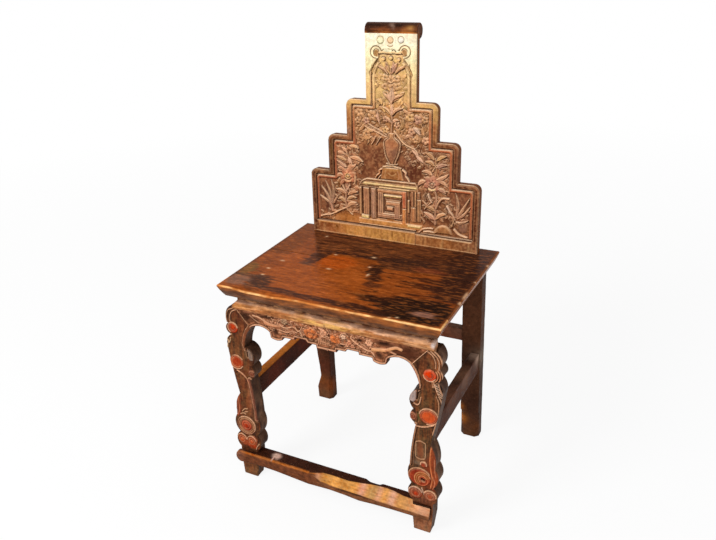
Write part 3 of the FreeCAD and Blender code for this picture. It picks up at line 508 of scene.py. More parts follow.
def carve_left(face):
    """Left leg: two bosses, a curl between them, a leaf and a ringed boss over a pair of small ones."""
    body_of_leg(face, ((olive_brown, 228, 340, 46, 60, 0.4), ((36, 17, 9), 216, 225, 34, 110, 0.7),
        (deep_red, 225, 420, 30, 30, 0.5), ((48, 24, 14), 205, 375, 18, 70, 0.8),
        ((54, 32, 22), 206, 215, 12, 100, 0.8), ((48, 26, 15), 224, 260, 14, 60, 0.6),
        ((48, 32, 20), 221, 18, 70, 60, 0.9), (shadow_brown, 226, 26, 20, 20, 0.5)),
        (((48, 27, 17), (56, 35, 24), 7), ((48, 28, 21), (62, 40, 30), 5)))
    for points, colour in (
            ([224, 438, 236, 432, 243, 421, 244, 408, 240, 402], pale_rib),
            ([233, 440, 247, 432, 253, 417, 252, 402], (60, 42, 30))):
        rib(face, points, colour, 0.9, 2.1)
    roundel(face, 238, 391, 13, 13, (66, 17, 0), ((0.98, -60, 170, pale_rib), (0.5, 200, 400, (62, 19, 6))))
    for points in ([243, 374, 252, 369, 255, 360, 250, 352], [247, 364, 248, 356, 254, 350, 256, 340]):
        face.ridge(points, 3, 2.2, (74, 62, 46), 0)
    scroll_at_knee(face, (44, 37, 33))
    roundel(face, 235, 305, 18, 17, (60, 19, 6),
            ((0.98, -150, 20, pale_rib), (0.7, -140, 60, (80, 40, 22)), (1, 60, 150, (60, 30, 18))))
    face.ridge([236, 284, 224, 279, 213, 270, 206, 258], 3, 2, (76, 46, 32), 0.3)
    face.plate([233, 224, 243, 218, 248, 200, 246, 176, 252, 160, 246, 158, 236, 164, 234, 190], 1.6,
        (46, 21, 13), 4)
    face.ridge([240, 216, 238, 196, 238, 178, 244, 164], 2.4, 2, (70, 36, 23), 0)
    face.ridge([247, 214, 251, 196, 250, 178, 254, 164], 2.4, 2, (72, 34, 20), 0)
    for points in ([231, 176, 224, 184, 216, 186], [224, 176, 216, 178], [236, 168, 228, 172, 222, 170]):
        face.ridge(points, 2.6, 2, (76, 58, 42), 0.2)
    roundel(face, 222, 140, 24, 23, (46, 24, 15),
            ((1, 50, 200, pale_rib), (0.82, 0, 345, (66, 44, 28)), (1, 210, 400, (52, 28, 19))))
    face.disc(222, 140, 14.5, 2.2, (63, 15, 1), (0.55, 0.95))
    face.plate([(195, 104), (203, 114), (213, 113), (222, 104), (230, 110), (240, 115), (251, 105), (250, 92),
        (236, 82), (206, 82), (197, 92)], 1.3, (56, 24, 12), 3)
    for x in (238, 211):
        face.ridge(oval(x, 99, 12.5, 13, 10, 170), 2.4, 2.3, pale_rib, 0)
        face.ridge(oval(x, 98, 7.5, 8, 0, 345), 2.2, 2, (68, 36, 22), 0)
        face.disc(x, 97, 5, 2.2, (74, 29, 10))
    face.wash(((70, 24, 9), 208, 84, 26, 12, 0.8))
    face.ridge([200, 79, 197, 86, 191, 95], 2.6, 2.2, pale_rib, 0)


def leg_face(height):
    """Depth of the leaning face of legs and apron at a height."""
    return leg_lean * height - leg_foot_forward


def front_leg(name, node, face, side):
    """The plank behind the carved face, with its post."""
    for edge in (outline(leg_outside), outline(leg_inside)):
        face.round_edge(edge, arris_round)
    z = np.arange(0, leg_height, leg_step)
    inner = np.interp(z, *outline(leg_inside).T[::-1])
    outer = np.interp(z, *outline(leg_outside).T[::-1]) - outline_slack
    x = inner[:, None] + np.linspace(0, 1, leg_columns) * (outer - inner)[:, None]
    rows = np.repeat(z[:, None], leg_columns, 1)
    height, colour = face.sample(x, rows)
    y = leg_face(rows) - height
    foot_back = np.interp(z, [0, foot_height], foot_rear_depths)
    back = np.where(z < foot_height, foot_back, leg_face(z) + leg_depth)
    down = y[:, -1:] + side_shares * (back[:, None] - y[:, -1:])
    up = y[:, :1] + side_shares[::-1] * (back[:, None] - y[:, :1])
    wide = np.maximum(outer - inner, 0.5)[:, None]
    cut = np.minimum(corner_round, wide / 4)
    side_x = np.repeat(outer[:, None], len(side_shares), 1) - 0.5 * np.sin(side_shares * np.pi) * cut
    other_x = np.repeat(inner[:, None], len(side_shares), 1) + 0.5 * np.sin(side_shares[::-1] * np.pi) * cut
    back_x = np.hstack([(outer[:, None] - cut), (outer + inner)[:, None] / 2, inner[:, None] + cut])
    all_x = np.hstack([x, side_x, back_x, other_x])
    all_y = np.hstack([y, down, np.repeat(back[:, None], 3, 1), up])
    loops = np.stack([side * all_x, all_y, np.repeat(z[:, None], all_x.shape[1], 1)], -1)
    shades = np.tile(linear(side_brown), loops.shape[:2] + (1,))
    uneven = cloud(all_y + 60 * (all_x > 220), rows[:, :1] / 3, 9, 31)
    lit = held(0.55 + 0.6 * uneven - 0.008 * (all_y - leg_face(z)[:, None]))
    lit *= np.clip(np.sin(0.0215 * z - 1.9), 0.15, 1)[:, None] ** 0.5
    shades += lit[..., None] * (linear(side_grey) - linear(side_brown))
    shades[:, :leg_columns] = colour
    shades[:, leg_columns] = 0.5 * colour[:, -1] + 0.5 * shades[:, leg_columns]
    shades[:, -1] = 0.5 * colour[:, 0] + 0.5 * shades[:, -1]
    post = np.array([[(side * px, py, pz) for px, py in leg_post] for pz in (post_low, post_high)])
    assemble(name, [skin(loops, shades), skin(post, linear(side_brown))], node, "dark_lacquer", leg_lacquer)


leg_lacquer = lacquered("leg_lacquer", (260, 260, 30), streaks=0.35, pits=0.14)
right_face = CarvedFace(*leg_canvas, (26, 17, 11.5))
carve_right(right_face)
left_face = CarvedFace(*leg_canvas, (33, 18, 11))
carve_left(left_face)
right_face.ridge([192, 401, 227, 441], 1.6, 2.1, (90, 72, 60), 0)
left_face.ridge([192, 401, 227, 441], 1.4, 1.6, (50, 31, 22), 0)
right_face.paint *= (1.08, 1.02, 1)
for side_face in (right_face, left_face):
    side_face.height *= leg_carving_gain
    side_face.mottle((86, 55, 32), (20, 8, 3), 3.5, 0.08, 23)
    # rubbed highs, painted shade in the lows, and painted light and shade on the slopes
    side_face.wear_and_painted_shading((88, 66, 50), shadow_brown, 0.75)
front_leg("carved_leg_right", "front_leg_right", right_face, 1)
front_leg("carved_leg_left", "front_leg_left", left_face, -1)


# The apron: a thin scalloped board, mitred to the legs and carved with blossoms, swirls and a branch,
# its lower edge followed by a raised bead. A tongue on its top enters the waist strip.
apron_back = 18
apron_front_rows = 60
mitre_end_x = 225.5
apron_edge = [(0, 388), (23.9, 388), (24, 395), (45, 395), (50, 401), (76, 401), (76.1, 395), (106, 395),
    (107.9, 388), (123, 384, 138, 388), (140, 400), (163, 409, 190, 400), (226, 441)]
apron_brown = (58, 36, 23)
dusty_pink = (84, 60, 46)


def both_ways(points):
    """A line drawn on the right and its twin on the left."""
    return points, [(-x, z) for x, z in points]


apron_face = CarvedFace(-230, 230, 382, 443, 0.6, -3.4, apron_brown)
apron_face.mottle((72, 45, 32), (28, 13, 8), 6, 0.7, 14, 0.7)
foliage = np.random.default_rng(5)
for _ in range(300):
    x, turn = foliage.uniform(-150, 112), foliage.uniform(0, tau)
    z = foliage.uniform(401, 440)
    reach, pale = foliage.uniform(3, 9), foliage.uniform(0, 1)
    bend = foliage.uniform(-2, 2)
    apron_face.leaf([(x, z), (x + 0.5 * reach * cos(turn) + bend, z + 0.35 * reach * sin(turn) - bend),
        (x + reach * cos(turn), z + 0.7 * reach * sin(turn))], foliage.uniform(2.4, 4.6),
        foliage.uniform(1, 2.4), (42 + 36 * pale, 21 + 34 * pale, 13 + 28 * pale))
apron_face.wash(*((shadow_brown, *patch) for patch in ((132, 432, 44, 12, 0.95), (-150, 434, 50, 9, 0.9),
    (78, 428, 18, 9, 0.95), (-96, 429, 34, 7, 0.85), (122, 404, 18, 16, 0.9), (-126, 404, 14, 16, 0.9),
    (36, 406, 18, 7, 0.9), (-36, 405, 26, 7, 0.9), (186, 422, 66, 34, 0.85), (-204, 424, 44, 30, 0.9),
    (158, 412, 40, 12, 0.85), (-176, 422, 24, 10, 0.85), (-100, 407, 26, 4, 0.9), (-50, 409, 12, 6, 0.8),
    (6, 431, 8, 14, 0.6), (38, 421, 8, 18, 0.6), (8, 411, 8, 6, 0.7), (48, 423, 7, 7, 0.7),
    (-64, 424, 7, 8, 0.6), (-8, 431, 8, 5, 0.8))))
for cx, cz, across, tall, count in ((-36, 420, 34, 26, 26), (22, 420, 26, 22, 18)):
    apron_face.plate(oval(cx, cz, 0.5 * across, 0.5 * tall, 0, 330, 12), 1.6, (60, 29, 14), 5)
    for k in range(count):
        share, turn = sqrt(foliage.uniform(0.02, 1)), foliage.uniform(0, tau)
        x, z = cx + 0.42 * across * share * cos(turn), cz + 0.42 * tall * share * sin(turn)
        tone, away = foliage.uniform(0.82, 1.14), turn + foliage.uniform(1, 2.2)
        reach = foliage.uniform(7, 11)
        apron_face.leaf([(x - 0.5 * reach * cos(away), z - 0.5 * reach * sin(away)), (x, z),
            (x + 0.5 * reach * cos(away), z + 0.5 * reach * sin(away))], foliage.uniform(5, 8),
            foliage.uniform(2, 3.2), (77 * tone, 40 * tone, 18 * tone))
for x, z, rx, rz in (
        (-44, 425, 7, 5), (-30, 426, 7, 6), (-37, 416, 8, 6), (-24, 415, 6, 5), (18, 424, 6, 5),
        (28, 419, 6, 6)):
    apron_face.groove([(x + rx * cos(t), z + rz * sin(t)) for t in (0.2, 0.9, 1.6, 2.3, 3)], 1.6, 1,
        (36, 15, 8))
apron_face.wash(((33, 17, 10), 176, 422, 60, 30, 0.7))
for flower in (
        (54, 417, 6, 4, 3, (74, 44, 31), 48.6, 0.1), (62, 411, 5, 4, 3, (70, 42, 30), 55.8, 0.1),
        (49, 409, 4, 4, 3, (74, 48, 35), 44.1, 0.1), (99, 427, 9, 6, 2.8, dusty_pink, 0.2),
        (-101, 434, 9, 6, 2.6, (56, 43, 32), 0.7), (-6, 427, 9, 6, 2.8, (80, 54, 40), 0.4),
        (41, 428, 6, 5, 2.8, (86, 70, 58), 0.5)):
    apron_face.bloom(*flower)
for k in range(7):
    apron_face.ridge([(-17 + 4 * k, 401), (-18 + 4.2 * k, 412)], 2.4, 2.6, (80, 56, 40), 0.3)
apron_face.ridges(0.3, (3.4, 3, dusty_pink, 58, 430, 66, 423, 76, 417, 86, 413), (4, 2.8, dusty_pink, 86, 413,
    96, 409, 106, 411, 114, 416), (9, 3.2, (84, 58, 38), 108, 414, 124, 417, 138, 419, 149, 425, 160, 429,
    170, 427), (5, 2.4, (66, 40, 26), 138, 419, 148, 417, 158, 414), (3.4, 2.6, dusty_pink, 103, 410, 109,
    404, 112, 399), (3.6, 2.6, (76, 54, 40), -181, 432, -168, 431, -154, 426, -142, 420),
    (9, 2.6, (74, 48, 33), -150, 421, -138, 418, -126, 418, -112, 420), (3, 2.6, (76, 53, 40), -119, 422,
    -115, 432, -106, 438), (3.2, 2.8, dusty_pink, -112, 424, -104, 420, -94, 420, -84, 424),
    (3, 2.4, (72, 46, 33), -114, 411, -102, 409, -90, 411, -80, 415, -70, 413), (3, 2.8, (76, 54, 40), -74,
    424, -68, 418, -62, 421, -58, 429), (3.4, 2.6, (72, 56, 44), -62, 418, -59, 411, -57, 406),
    (2.8, 3, dusty_pink, -16, 436, -6, 432, -13, 424, -5, 418, 4, 421), (2.8, 3, (78, 50, 37), 2, 438, 7, 431,
    3, 424), (3, 2.6, (72, 46, 34), 34, 411, 42, 411, 50, 413), (2.8, 2.6, (76, 56, 44), 33, 425, 36, 433, 44,
    436, 52, 431), (3, 1.4, (40, 23, 15), -190, 430, -178, 422, -166, 416))
for line in both_ways(outline(apron_edge)[:-1]):
    apron_face.rim(line, (36, 18, 11), (80, 55, 43), 2.7, 1.1)
    apron_face.round_edge(line, 1.8)
# rubbed highs, painted shade in the lows, and painted light and shade on the slopes
apron_face.wear_and_painted_shading((92, 70, 54), shadow_brown, 0.9, 2.4)

columns = np.linspace(-mitre_end_x, mitre_end_x, 620)
low = np.interp(np.abs(columns), *outline(apron_edge).T)
z = low[:, None] + np.linspace(0, 1, apron_front_rows) * (leg_height - low)[:, None]
x = np.repeat(columns[:, None], apron_front_rows, 1)
height, colour = apron_face.sample(x, z)
back_z = low[:, None] + np.linspace(1, 0, 5) * (leg_height - low)[:, None]
front = np.stack([x, leg_face(z) - height, z], -1)
back = np.stack([np.repeat(columns[:, None], 5, 1), leg_face(back_z) + apron_back, back_z], -1)
under = (front[:, :1] * 0.5 + back[:, -1:] * 0.5)
loops = np.concatenate([front, back, under], 1)
shades = np.tile(linear(side_brown), loops.shape[:2] + (1,))
shades[:, :apron_front_rows] = colour
carved_lacquer = lacquered("carved_lacquer", (40, 260, 260), streaks=0.35, pits=0.4, chip_from=0.6,
    fleck=(30, 15, 8))
assemble("apron", [skin(loops, shades)], "front_apron", "worn_lacquer", carved_lacquer)

# The waist strip between apron and seat: one strip with a rounded bead below and a recessed neck
# above, worn through to golden wood along the bead. Silver grey painted highlights lie on the ledge
# above the bead and in the neck on the left.
waist_end = 240
worn_end = 232
neck_end = 230
waist_profile = [(31, 441), (12, 441), (11, 442.5), (9.7, 445), (9.1, 448), (9, 450), (9.1, 452),
    (9.8, 455.5), (11, 458), (12, 459), (16, 459.6), (20, 460), (20, 462), (20, 466), (20, 470), (31, 470)]
waist_gold = (72, 47, 26)
waist_face = CarvedFace(-242, 242, 438, 473, 1, 0, waist_gold)
waist_face.wash(((60, 33, 18), -150, 446, 200, 18, 0.55), ((88, 68, 36), 5, 449, 130, 22, 0.8),
    ((70, 45, 30), 160, 446, 160, 16, 0.6), ((90, 72, 60), 90, 456, 320, 5, 0.75), ((86, 58, 30), -210, 449,
    40, 14, 0.6), ((80, 62, 46), 205, 446, 60, 10, 0.5))
waist_face.tint(whole, held((waist_face.z - 458.6) / 1.5), (30, 17, 11))
# the first patch, silver grey in the neck on the left, is a painted highlight
waist_face.wash(((56, 49, 44), -90, 467, 230, 7, 0.5), ((60, 34, 20), 155, 466, 36, 6, 0.9),
    ((52, 34, 22), -185, 464, 90, 10, 0.6), ((30, 17, 10), 0, 446, 5, 12, 0.85), ((30, 17, 10), 57, 447, 6,
    10, 0.85), ((30, 17, 10), -132, 451, 5, 4, 0.85), ((30, 17, 10), 97, 459, 8, 3, 0.85),
    ((88, 86, 86), 238, 454, 9, 12, 0.9))
# a painted highlight of silver grey along the ledge at the top of the bead
ledge = bell(waist_face.z, 459.2, 1.3) * held(0.8 + cloud(waist_face.x, waist_face.z, 30, 12))
waist_face.tint(whole, 0.75 * ledge, (80, 64, 54))
streaks = cloud(waist_face.x / 14, waist_face.z, 1.7, 13)
waist_face.tint(whole, 0.55 * held(2 * streaks), (90, 66, 46))
waist_face.tint(whole, 0.5 * held(-2 * streaks), (44, 25, 14))
ripples = np.random.default_rng(11)
for _ in range(60):
    x, z = ripples.uniform(-235, 235), ripples.uniform(442, 458)
    waist_face.ridge([(x, z), (x + ripples.uniform(15, 60), z + ripples.uniform(-1.2, 1.2))], 2.4, 0.25,
        None if ripples.random() < 0.5 else (66, 40, 22), 0.8)


def waist_run(x0, x1, profile):
    """Part of the strip between two places across the chair."""
    stations = np.linspace(x0, x1, max(3, int((x1 - x0) / 2)))
    y, z = (np.repeat(c[None], len(stations), 0) for c in np.array(profile, float).T)
    x = np.repeat(stations[:, None], len(profile), 1)
    height, colour = waist_face.sample(x, z)
    wear = 0.5 * np.sin(x / 31) * np.sin(x / 13 + z / 7) * (y < 19)
    rounded = np.maximum(x, 10 * held((z - 444) / 14) ** 2 - worn_end)
    return skin(np.stack([rounded, y - height + wear * 0.6 + 0.3 * (y < 19), z], -1), colour)


bead_only = waist_profile[:10] + [(31, 459)]
assemble("waist", [waist_run(-neck_end, neck_end, waist_profile), waist_run(-worn_end, -neck_end, bead_only),
    waist_run(neck_end, waist_end, bead_only)], "front_waist", "worn_lacquer", carved_lacquer)

# The frame behind and under the seat: two square rear legs with chamfered feet, the left one worn thin,
# deep side stretchers, a rear stretcher, seat rails and two battens. All are planed bars, tenoned into
# one another, lacquered dark brown like the legs; hands, heels and dust have rubbed them unevenly.
# The orange low on the front of each rear leg is a painted highlight on its chamfered corner.
bar_step = 2.5
bar_red = (42, 17, 10)
bar_orange = (58, 32, 13)
dusty = (50, 44, 38)
bare_wood = (66, 50, 33)


def worn_bar(low, high, radius, tones, spots=(), wear=0.5, seed=1, cuts=(), outer=None):
    """Skin of a squared bar with rounded, slightly uneven arrises, coloured by side and spot.

    tones are for its -x, +x, -y, +y, -z and +z sides; cuts are (x side, y side, top, size) chamfers of
    an upright bar; outer gives an upright bar's outer x at each height."""
    low, high = np.array(low, float), np.array(high, float)
    along = int(np.argmax(high - low)) if outer is None else 2
    u, v = [n for n in range(3) if n != along]
    half = (high - low) / 2
    middle = (high + low) / 2
    way = np.linspace(low[along], high[along], max(8, int((high - low)[along] / bar_step)))
    turns = np.linspace(0, pi / 2, 5)
    loops, normals = [], []
    for t in way:
        ring, facing = [], []
        for n, (su, sv) in enumerate(((1, 1), (-1, 1), (-1, -1), (1, -1))):
            cut = [size for cu, cv, top, size in cuts if (cu, cv) == (su, sv) and t < top]
            for a in (turns if n % 2 == 0 else turns[::-1]):
                share = a / (pi / 2)
                if cut:
                    du, dv = cut[0] * share, cut[0] * (1 - share)
                else:
                    du, dv = radius * (1 - cos(a)), radius * (1 - sin(a))
                ring.append((su * (half[u] - du), sv * (half[v] - dv)))
                facing.append((su * cos(a), sv * sin(a)))
        ring, facing = np.array(ring), np.array(facing)
        order, spaced, faced = np.linspace(0, 1, 5, endpoint=False)[:, None], [], []
        for n in range(4):
            part, turned = ring[5 * n:5 * n + 5], facing[5 * n:5 * n + 5]
            following, next_turned = ring[(5 * n + 5) % 20], facing[(5 * n + 5) % 20]
            spaced += [part, part[-1] + (following - part[-1]) * order[1:]]
            faced += [turned, turned[-1] + (next_turned - turned[-1]) * (order[1:] > 0.5)]
        loops.append(np.vstack(spaced))
        normals.append(np.vstack(faced))
    loops, normals = np.array(loops), np.array(normals)
    ways = np.repeat(way[:, None], loops.shape[1], 1)
    nu, nv = normals[..., 0], normals[..., 1]
    wave = np.sin(0.05 * ways + 3 * nu + seed) + np.sin(0.13 * ways - 4 * nv + 2 * seed)
    wave = (wave + 0.6 * np.sin(0.31 * ways + 5 * nu * nv + 3 * seed)) / 2.6
    loops = loops - normals * (wear * (0.5 + 0.5 * wave))[..., None]
    points = np.zeros(loops.shape[:2] + (3,))
    points[..., along] = ways
    points[..., u] = middle[u] + loops[..., 0]
    points[..., v] = middle[v] + loops[..., 1]
    if outer is not None:
        limit = np.interp(ways, [z for _, z in outer], [x for x, _ in outer])
        share = (points[..., 0] - low[0]) / (high[0] - low[0])
        points[..., 0] = low[0] + share * (limit - low[0])
    facing3 = np.zeros(points.shape)
    facing3[..., u], facing3[..., v] = nu, nv
    shades = np.zeros(points.shape)
    total = np.zeros(points.shape[:2])
    for n in range(3):
        for sign, tone in ((-1, tones[2 * n]), (1, tones[2 * n + 1])):
            share = held(sign * facing3[..., n]) ** 2
            shades += share[..., None] * linear(tone)
            total += share
    shades /= np.maximum(total, 1e-6)[..., None]
    for x, y, z, reach, colour, amount in spots:
        near = amount * np.exp(-(np.sum((points - (x, y, z)) ** 2, -1) / reach ** 2))
        shades = mixed(shades, linear(colour), near[..., None])
    return skin(points, shades)


def flipped(part):
    """The twin of a skin on the other side of the chair."""
    points, faces, shades = part
    return points * (-1, 1, 1), [face[::-1] for face in faces], shades


def frame_piece(name, node, *bars):
    """A lacquered piece of the frame in its place."""
    assemble(name, bars, node, "dark_lacquer", frame_lacquer)


frame_lacquer = lacquered("frame_lacquer", (60, 60, 60), streaks=0.3, specular=0.018)
leg_tones = [(20, 12, 8), (26, 17, 13), (30, 18, 12), (24, 16, 12), (15, 10, 8), (20, 13, 10)]
# the orange spots low on the front of the rear legs are a painted highlight on the chamfered corners
right_leg = worn_bar((186, 334.5, 0), (233, 365.5, 470), 2.2, leg_tones, seed=2, cuts=((1, -1, 75, 9),
    (-1, -1, 75, 9)), spots=((233, 336, 30, 16, bar_orange, 0.3), (186, 336, 50, 15, (80, 46, 15), 0.85),
    (186, 336, 85, 10, (74, 42, 15), 0.8), (205, 334, 340, 80, (37, 22, 14), 0.65),
    (214, 334, 98, 36, (20, 11, 8), 0.7), (233, 345, 235, 26, dusty, 0.6),
    (210, 334, 8, 16, (42, 27, 16), 0.5)))
top_tenon = worn_bar((198, 340.5, 468), (221, 359.5, 484), 0.6, leg_tones, wear=0.1)
frame_piece("square_leg_right", "rear_leg_right", right_leg, top_tenon)
worn_outer = ((229, 0), (229.9, 33), (217, 73), (219.5, 105), (223.6, 141), (229.5, 220), (233, 282),
    (233, 470))
left_leg = worn_bar((186, 334.5, 0), (233, 365.5, 470), 2.2, leg_tones, wear=0.8, seed=5,
    cuts=((-1, -1, 75, 9),), outer=worn_outer, spots=((219, 336, 60, 18, bar_orange, 0.6),
    (186, 336, 40, 26, (56, 28, 12), 0.7), (230, 336, 25, 24, (45, 24, 14), 0.7),
    (205, 334, 110, 34, bar_red, 0.4), (210, 334, 15, 20, (45, 30, 19), 0.6)))
frame_piece("square_leg_left", "rear_leg_left", flipped(left_leg), flipped(top_tenon))

stretcher_tones = [(21, 11, 7), (29, 16, 11), bar_red, bar_red, (14, 9, 7), (24, 14, 10)]
stretcher = worn_bar((208, 20, 198), (230, 345, 247), 2, stretcher_tones, seed=1,
    spots=((230, 330, 244, 22, (66, 54, 46), 0.7), (219, 328, 247, 18, (68, 57, 50), 0.7),
    (222, 150, 247, 34, (46, 29, 21), 0.6), (222, 240, 247, 30, (54, 38, 29), 0.7)))
frame_piece("deep_stretcher_right", "side_stretcher_right", stretcher)
stretcher = worn_bar((208, 20, 198), (230, 345, 247), 2, stretcher_tones[:5] + [(85, 50, 18)], seed=4,
    spots=((208, 120, 215, 50, bar_red, 0.6), (208, 250, 235, 60, bar_red, 0.5),
    (208, 180, 200, 40, (20, 10, 7), 0.7)))
frame_piece("deep_stretcher_left", "side_stretcher_left", flipped(stretcher))
stretcher = worn_bar((-200, 339, 272), (200, 360, 305), 2, [bar_red, bar_red, (42, 20, 12), (26, 18, 13),
    (20, 12, 8), (34, 21, 14)], seed=7, spots=((120, 339, 300, 60, (54, 26, 13), 0.6),
    (-100, 339, 285, 70, (30, 15, 10), 0.7), (170, 348, 305, 40, (50, 40, 33), 0.5)))
frame_piece("stretcher_behind", "rear_stretcher", stretcher)
rail_tones = [(24, 15, 10), (22, 14, 10), (24, 15, 10), (24, 15, 10), (30, 20, 13), (20, 13, 10)]
rail = worn_bar((206, 30, 444), (228, 345, 470), 1.6, rail_tones, seed=3)
frame_piece("seat_rail_right", "side_rail_right", rail)
frame_piece("seat_rail_left", "side_rail_left", flipped(rail))
rail = worn_bar((-197, 339, 444), (197, 360, 470), 1.6, rail_tones, seed=6)
frame_piece("seat_rail_rear", "rear_rail", rail)
batten_wood = lacquered("batten_wood", (160, 14, 160), streaks=0.4, rough=(0.6, 0.8), fleck=(30, 20, 12))
for side_name, middle_x, seed in (("left", -110, 8), ("right", 110, 9)):
    batten = worn_bar((middle_x - 15, 29, 452), (middle_x + 15, 343, 476), 1.2, [bare_wood] * 6, seed=seed)
    assemble("batten_under_seat_" + side_name, [batten], "seat_batten_" + side_name, "plain_wood",
        batten_wood)

# The foot rail: a thick board tenoned between the feet, with a lip over the front of both. Its lacquer
# is dark brown; on the right, generations of shoes have worn the front arris away to raw yellow wood.
rail_front, rail_back, rail_lip_back = -21.65, 14.35, -10.9
rail_low, rail_high = 40, 71
rail_arris, worn_drop, groove_height = 1.6, 17, 50
rail_left, rail_right, rail_end_radius = -251, 240, 12
foot_edge = 200
raw_wood = (86, 60, 31)
raw_pink = (84, 60, 48)


def foot_rail_piece():
    """A skin along the rail, section by section, with its wear."""
    r = rail_end_radius
    rounded_end = rail_left + r * (1 - np.cos(np.linspace(0.15, pi / 2, 9)))
    xs = np.concatenate([rounded_end, np.linspace(rail_left + r, -foot_edge - 0.2, 22)[1:], [-foot_edge],
        np.linspace(-foot_edge, foot_edge, 230)[1:-1], [foot_edge, foot_edge + 0.2],
        np.linspace(foot_edge, rail_right, 24)[1:]])
    hollow = np.random.default_rng(4)
    bumps = [(hollow.uniform(-20, 240), hollow.uniform(6, 22), hollow.uniform(-1.4, 1.4)) for _ in range(34)]
    loops, shades = [], []
    for x in xs:
        top, low, back = rail_high, rail_low, rail_back
        near = rail_left + r - x
        if near > 0:
            drop = r - sqrt(max(0, r * r - near * near))
            top, low = top - drop, low + drop
        if x <= -foot_edge or x >= foot_edge + 0.1:
            back = rail_lip_back
        low_front = low + np.interp(x, [-239, -190, -140, -100, -55, 0, 40, 75, 110, 150, 200, 240],
            [0, 4, 3, 0, -3.5, -0.5, -2, -5, -2, 0, 1, 0])
        ramp = np.interp(x, [-52, -38, -20, 5, 60, 150, 215, 240], [0, 0.25, 0.72, 0.86, 1, 0.95, 1, 0.9])
        deep = float(np.interp(x, [-52, -38, -20, 5, 45, 75, 100, 130, 150, 175, 205, 240],
            [0, 4, 12, 13, 12, 17, 23, 26, 24, 18, 17, 16]))
        drop = worn_drop * ramp
        uneven = sum(h * bell(x, c, w) for c, w, h in bumps) * min(1, ramp * 1.5)
        chip = 5.5 * bell(x, 99, 17, 6)
        dent = bell(x, 58, 40, 4)
        if ramp < 0.02:
            front_top = [(rail_front + rail_arris * dy, top - rail_arris * dz) for dy, dz in ((3, 0),
                (1, 0.25), (0.35, 0.8), (0.0625, 2), (0, 4))]
            front_top += [(rail_front, top - 6.5 - 1.2 * k) for k in range(4)]
        else:
            ts = np.linspace(0, 1, 9)
            front_top = [(rail_front + deep * (1 - t) ** 1.15 + 0.4 * (1 - t),
                top - drop * t ** 1.1 - (0.6 + uneven) * sin(pi * t) * 1.1 - 0.1) for t in ts]
        end = front_top[0][0]
        top_line = [(y, top - 0.4 * sin(0.04 * x) ** 2 - (chip if y > back - 9 and chip > 0.1 else 0) * min(1,
            max(0, (y - back + 9) / 5))) for y in np.linspace(back - 0.8, end, 12)[:-1]]
        front = [(rail_front + 0.3 * sin(0.09 * x + z) + 0.3
                  + 2.2 * dent * bell(z, groove_height, 1.8), z)
                 for z in np.linspace(front_top[-1][1], low_front + 2.2, 8)[1:]]
        under = [(rail_front + 0.8, low_front + 0.7), (rail_front + 2.2, low_front)]
        under += [(y, low_front + (low - low_front) * min(1, (y - rail_front) / 14))
                  for y in np.linspace(rail_front + 5, back - 1.5, 6)]
        rear = [(back - 0.3, low + 0.6), (back, low + 3), (back, (low + top) / 2), (back, top - 3 - chip),
                (back - 0.2, top - 0.7 - chip)]
        ring = top_line + front_top + front + under + rear
        kinds = [0] * len(top_line) + [1] * len(front_top) + [2] * len(front) + [3] * len(under + rear)
        loops.append([(x, y, z) for y, z in ring])
        worn_amount = float(held(ramp * 1.6 - 0.2))
        dark_top, dark_side = linear((23, 11, 6.5)), linear((42, 23, 13))
        raw = linear(raw_wood) * (0.9 + 0.16 * sin(0.13 * x) * sin(0.031 * x + 1))
        for c, w, colour, amount in (
                (-32, 10, raw_pink, 0.8), (80, 9, (90, 66, 62), 0.5), (120, 8, (90, 68, 62), 0.4),
                (152, 10, (92, 70, 64), 0.5), (225, 34, (80, 58, 45), 0.9), (104, 8, (74, 62, 42), 0.5)):
            raw = mixed(raw, linear(colour), amount * bell(x, c, w))
        lit = linear((72, 42, 19))
        row = []
        for n, ((y, z), kind) in enumerate(zip(ring, kinds)):
            if kind == 0:
                tone = dark_top
            elif kind == 1:
                plain = mixed(dark_side, lit, bell(n - len(top_line), 1.2, 1.3))
                tone = mixed(plain, raw, worn_amount)
            elif kind == 2:
                below = held((front_top[-1][1] - z) / 3.5)
                side_tone = mixed(dark_side, linear((46, 28, 17)), worn_amount)
                tone = mixed(mixed(dark_side, raw, worn_amount), side_tone, below)
                tone = tone * (1 - 0.75 * bell(z, groove_height, 2.2) * dent)
            else:
                tone = linear((20, 13, 9))
            if x < -225:
                tone = mixed(tone, linear((50, 32, 24)), 0.6 * min(1, (-225 - x) / 14) * (kind < 3))
            row.append(tone)
        shades.append(row)
    points, shades = np.array(loops), np.array(shades)
    for cx, cy, rx, ry, amount in ((-148, -1, 12, 9, 0.95), (-152, -12, 2.2, 9, 0.9), (-143, -9, 5, 5, 0.4)):
        on_top = points[..., 2] > rail_high - 3
        u, v = (points[..., 0] - cx) / rx, (points[..., 1] - cy) / ry
        near = np.exp(-(u ** 2 + v ** 2) ** 2) * on_top * amount
        shades = mixed(shades, linear((86, 70, 62)), near[..., None])
    raw_share = held((shades[..., 0] - 0.25) * 4)[..., None]
    uneven = cloud(points[..., 0] / 1.6, points[..., 1] + points[..., 2], 6, 44)[..., None]
    fine = cloud(points[..., 0] / 2.5, points[..., 1] + points[..., 2], 2.2, 45)[..., None]
    shades *= 1 + raw_share * (0.16 * uneven + 0.16 * fine) + (1 - raw_share) * 0.3 * (uneven + fine)
    shades += raw_share * held(-uneven) * (0.05, -0.06, -0.05)
    return skin(points, np.clip(shades, 0.004, 0.95))


rail_lacquer = lacquered("rail_lacquer", (22, 220, 220), streaks=0.32)
assemble("rail_at_the_feet", [foot_rail_piece()], "foot_rail", "worn_lacquer", rail_lacquer, sharp_degrees=50)

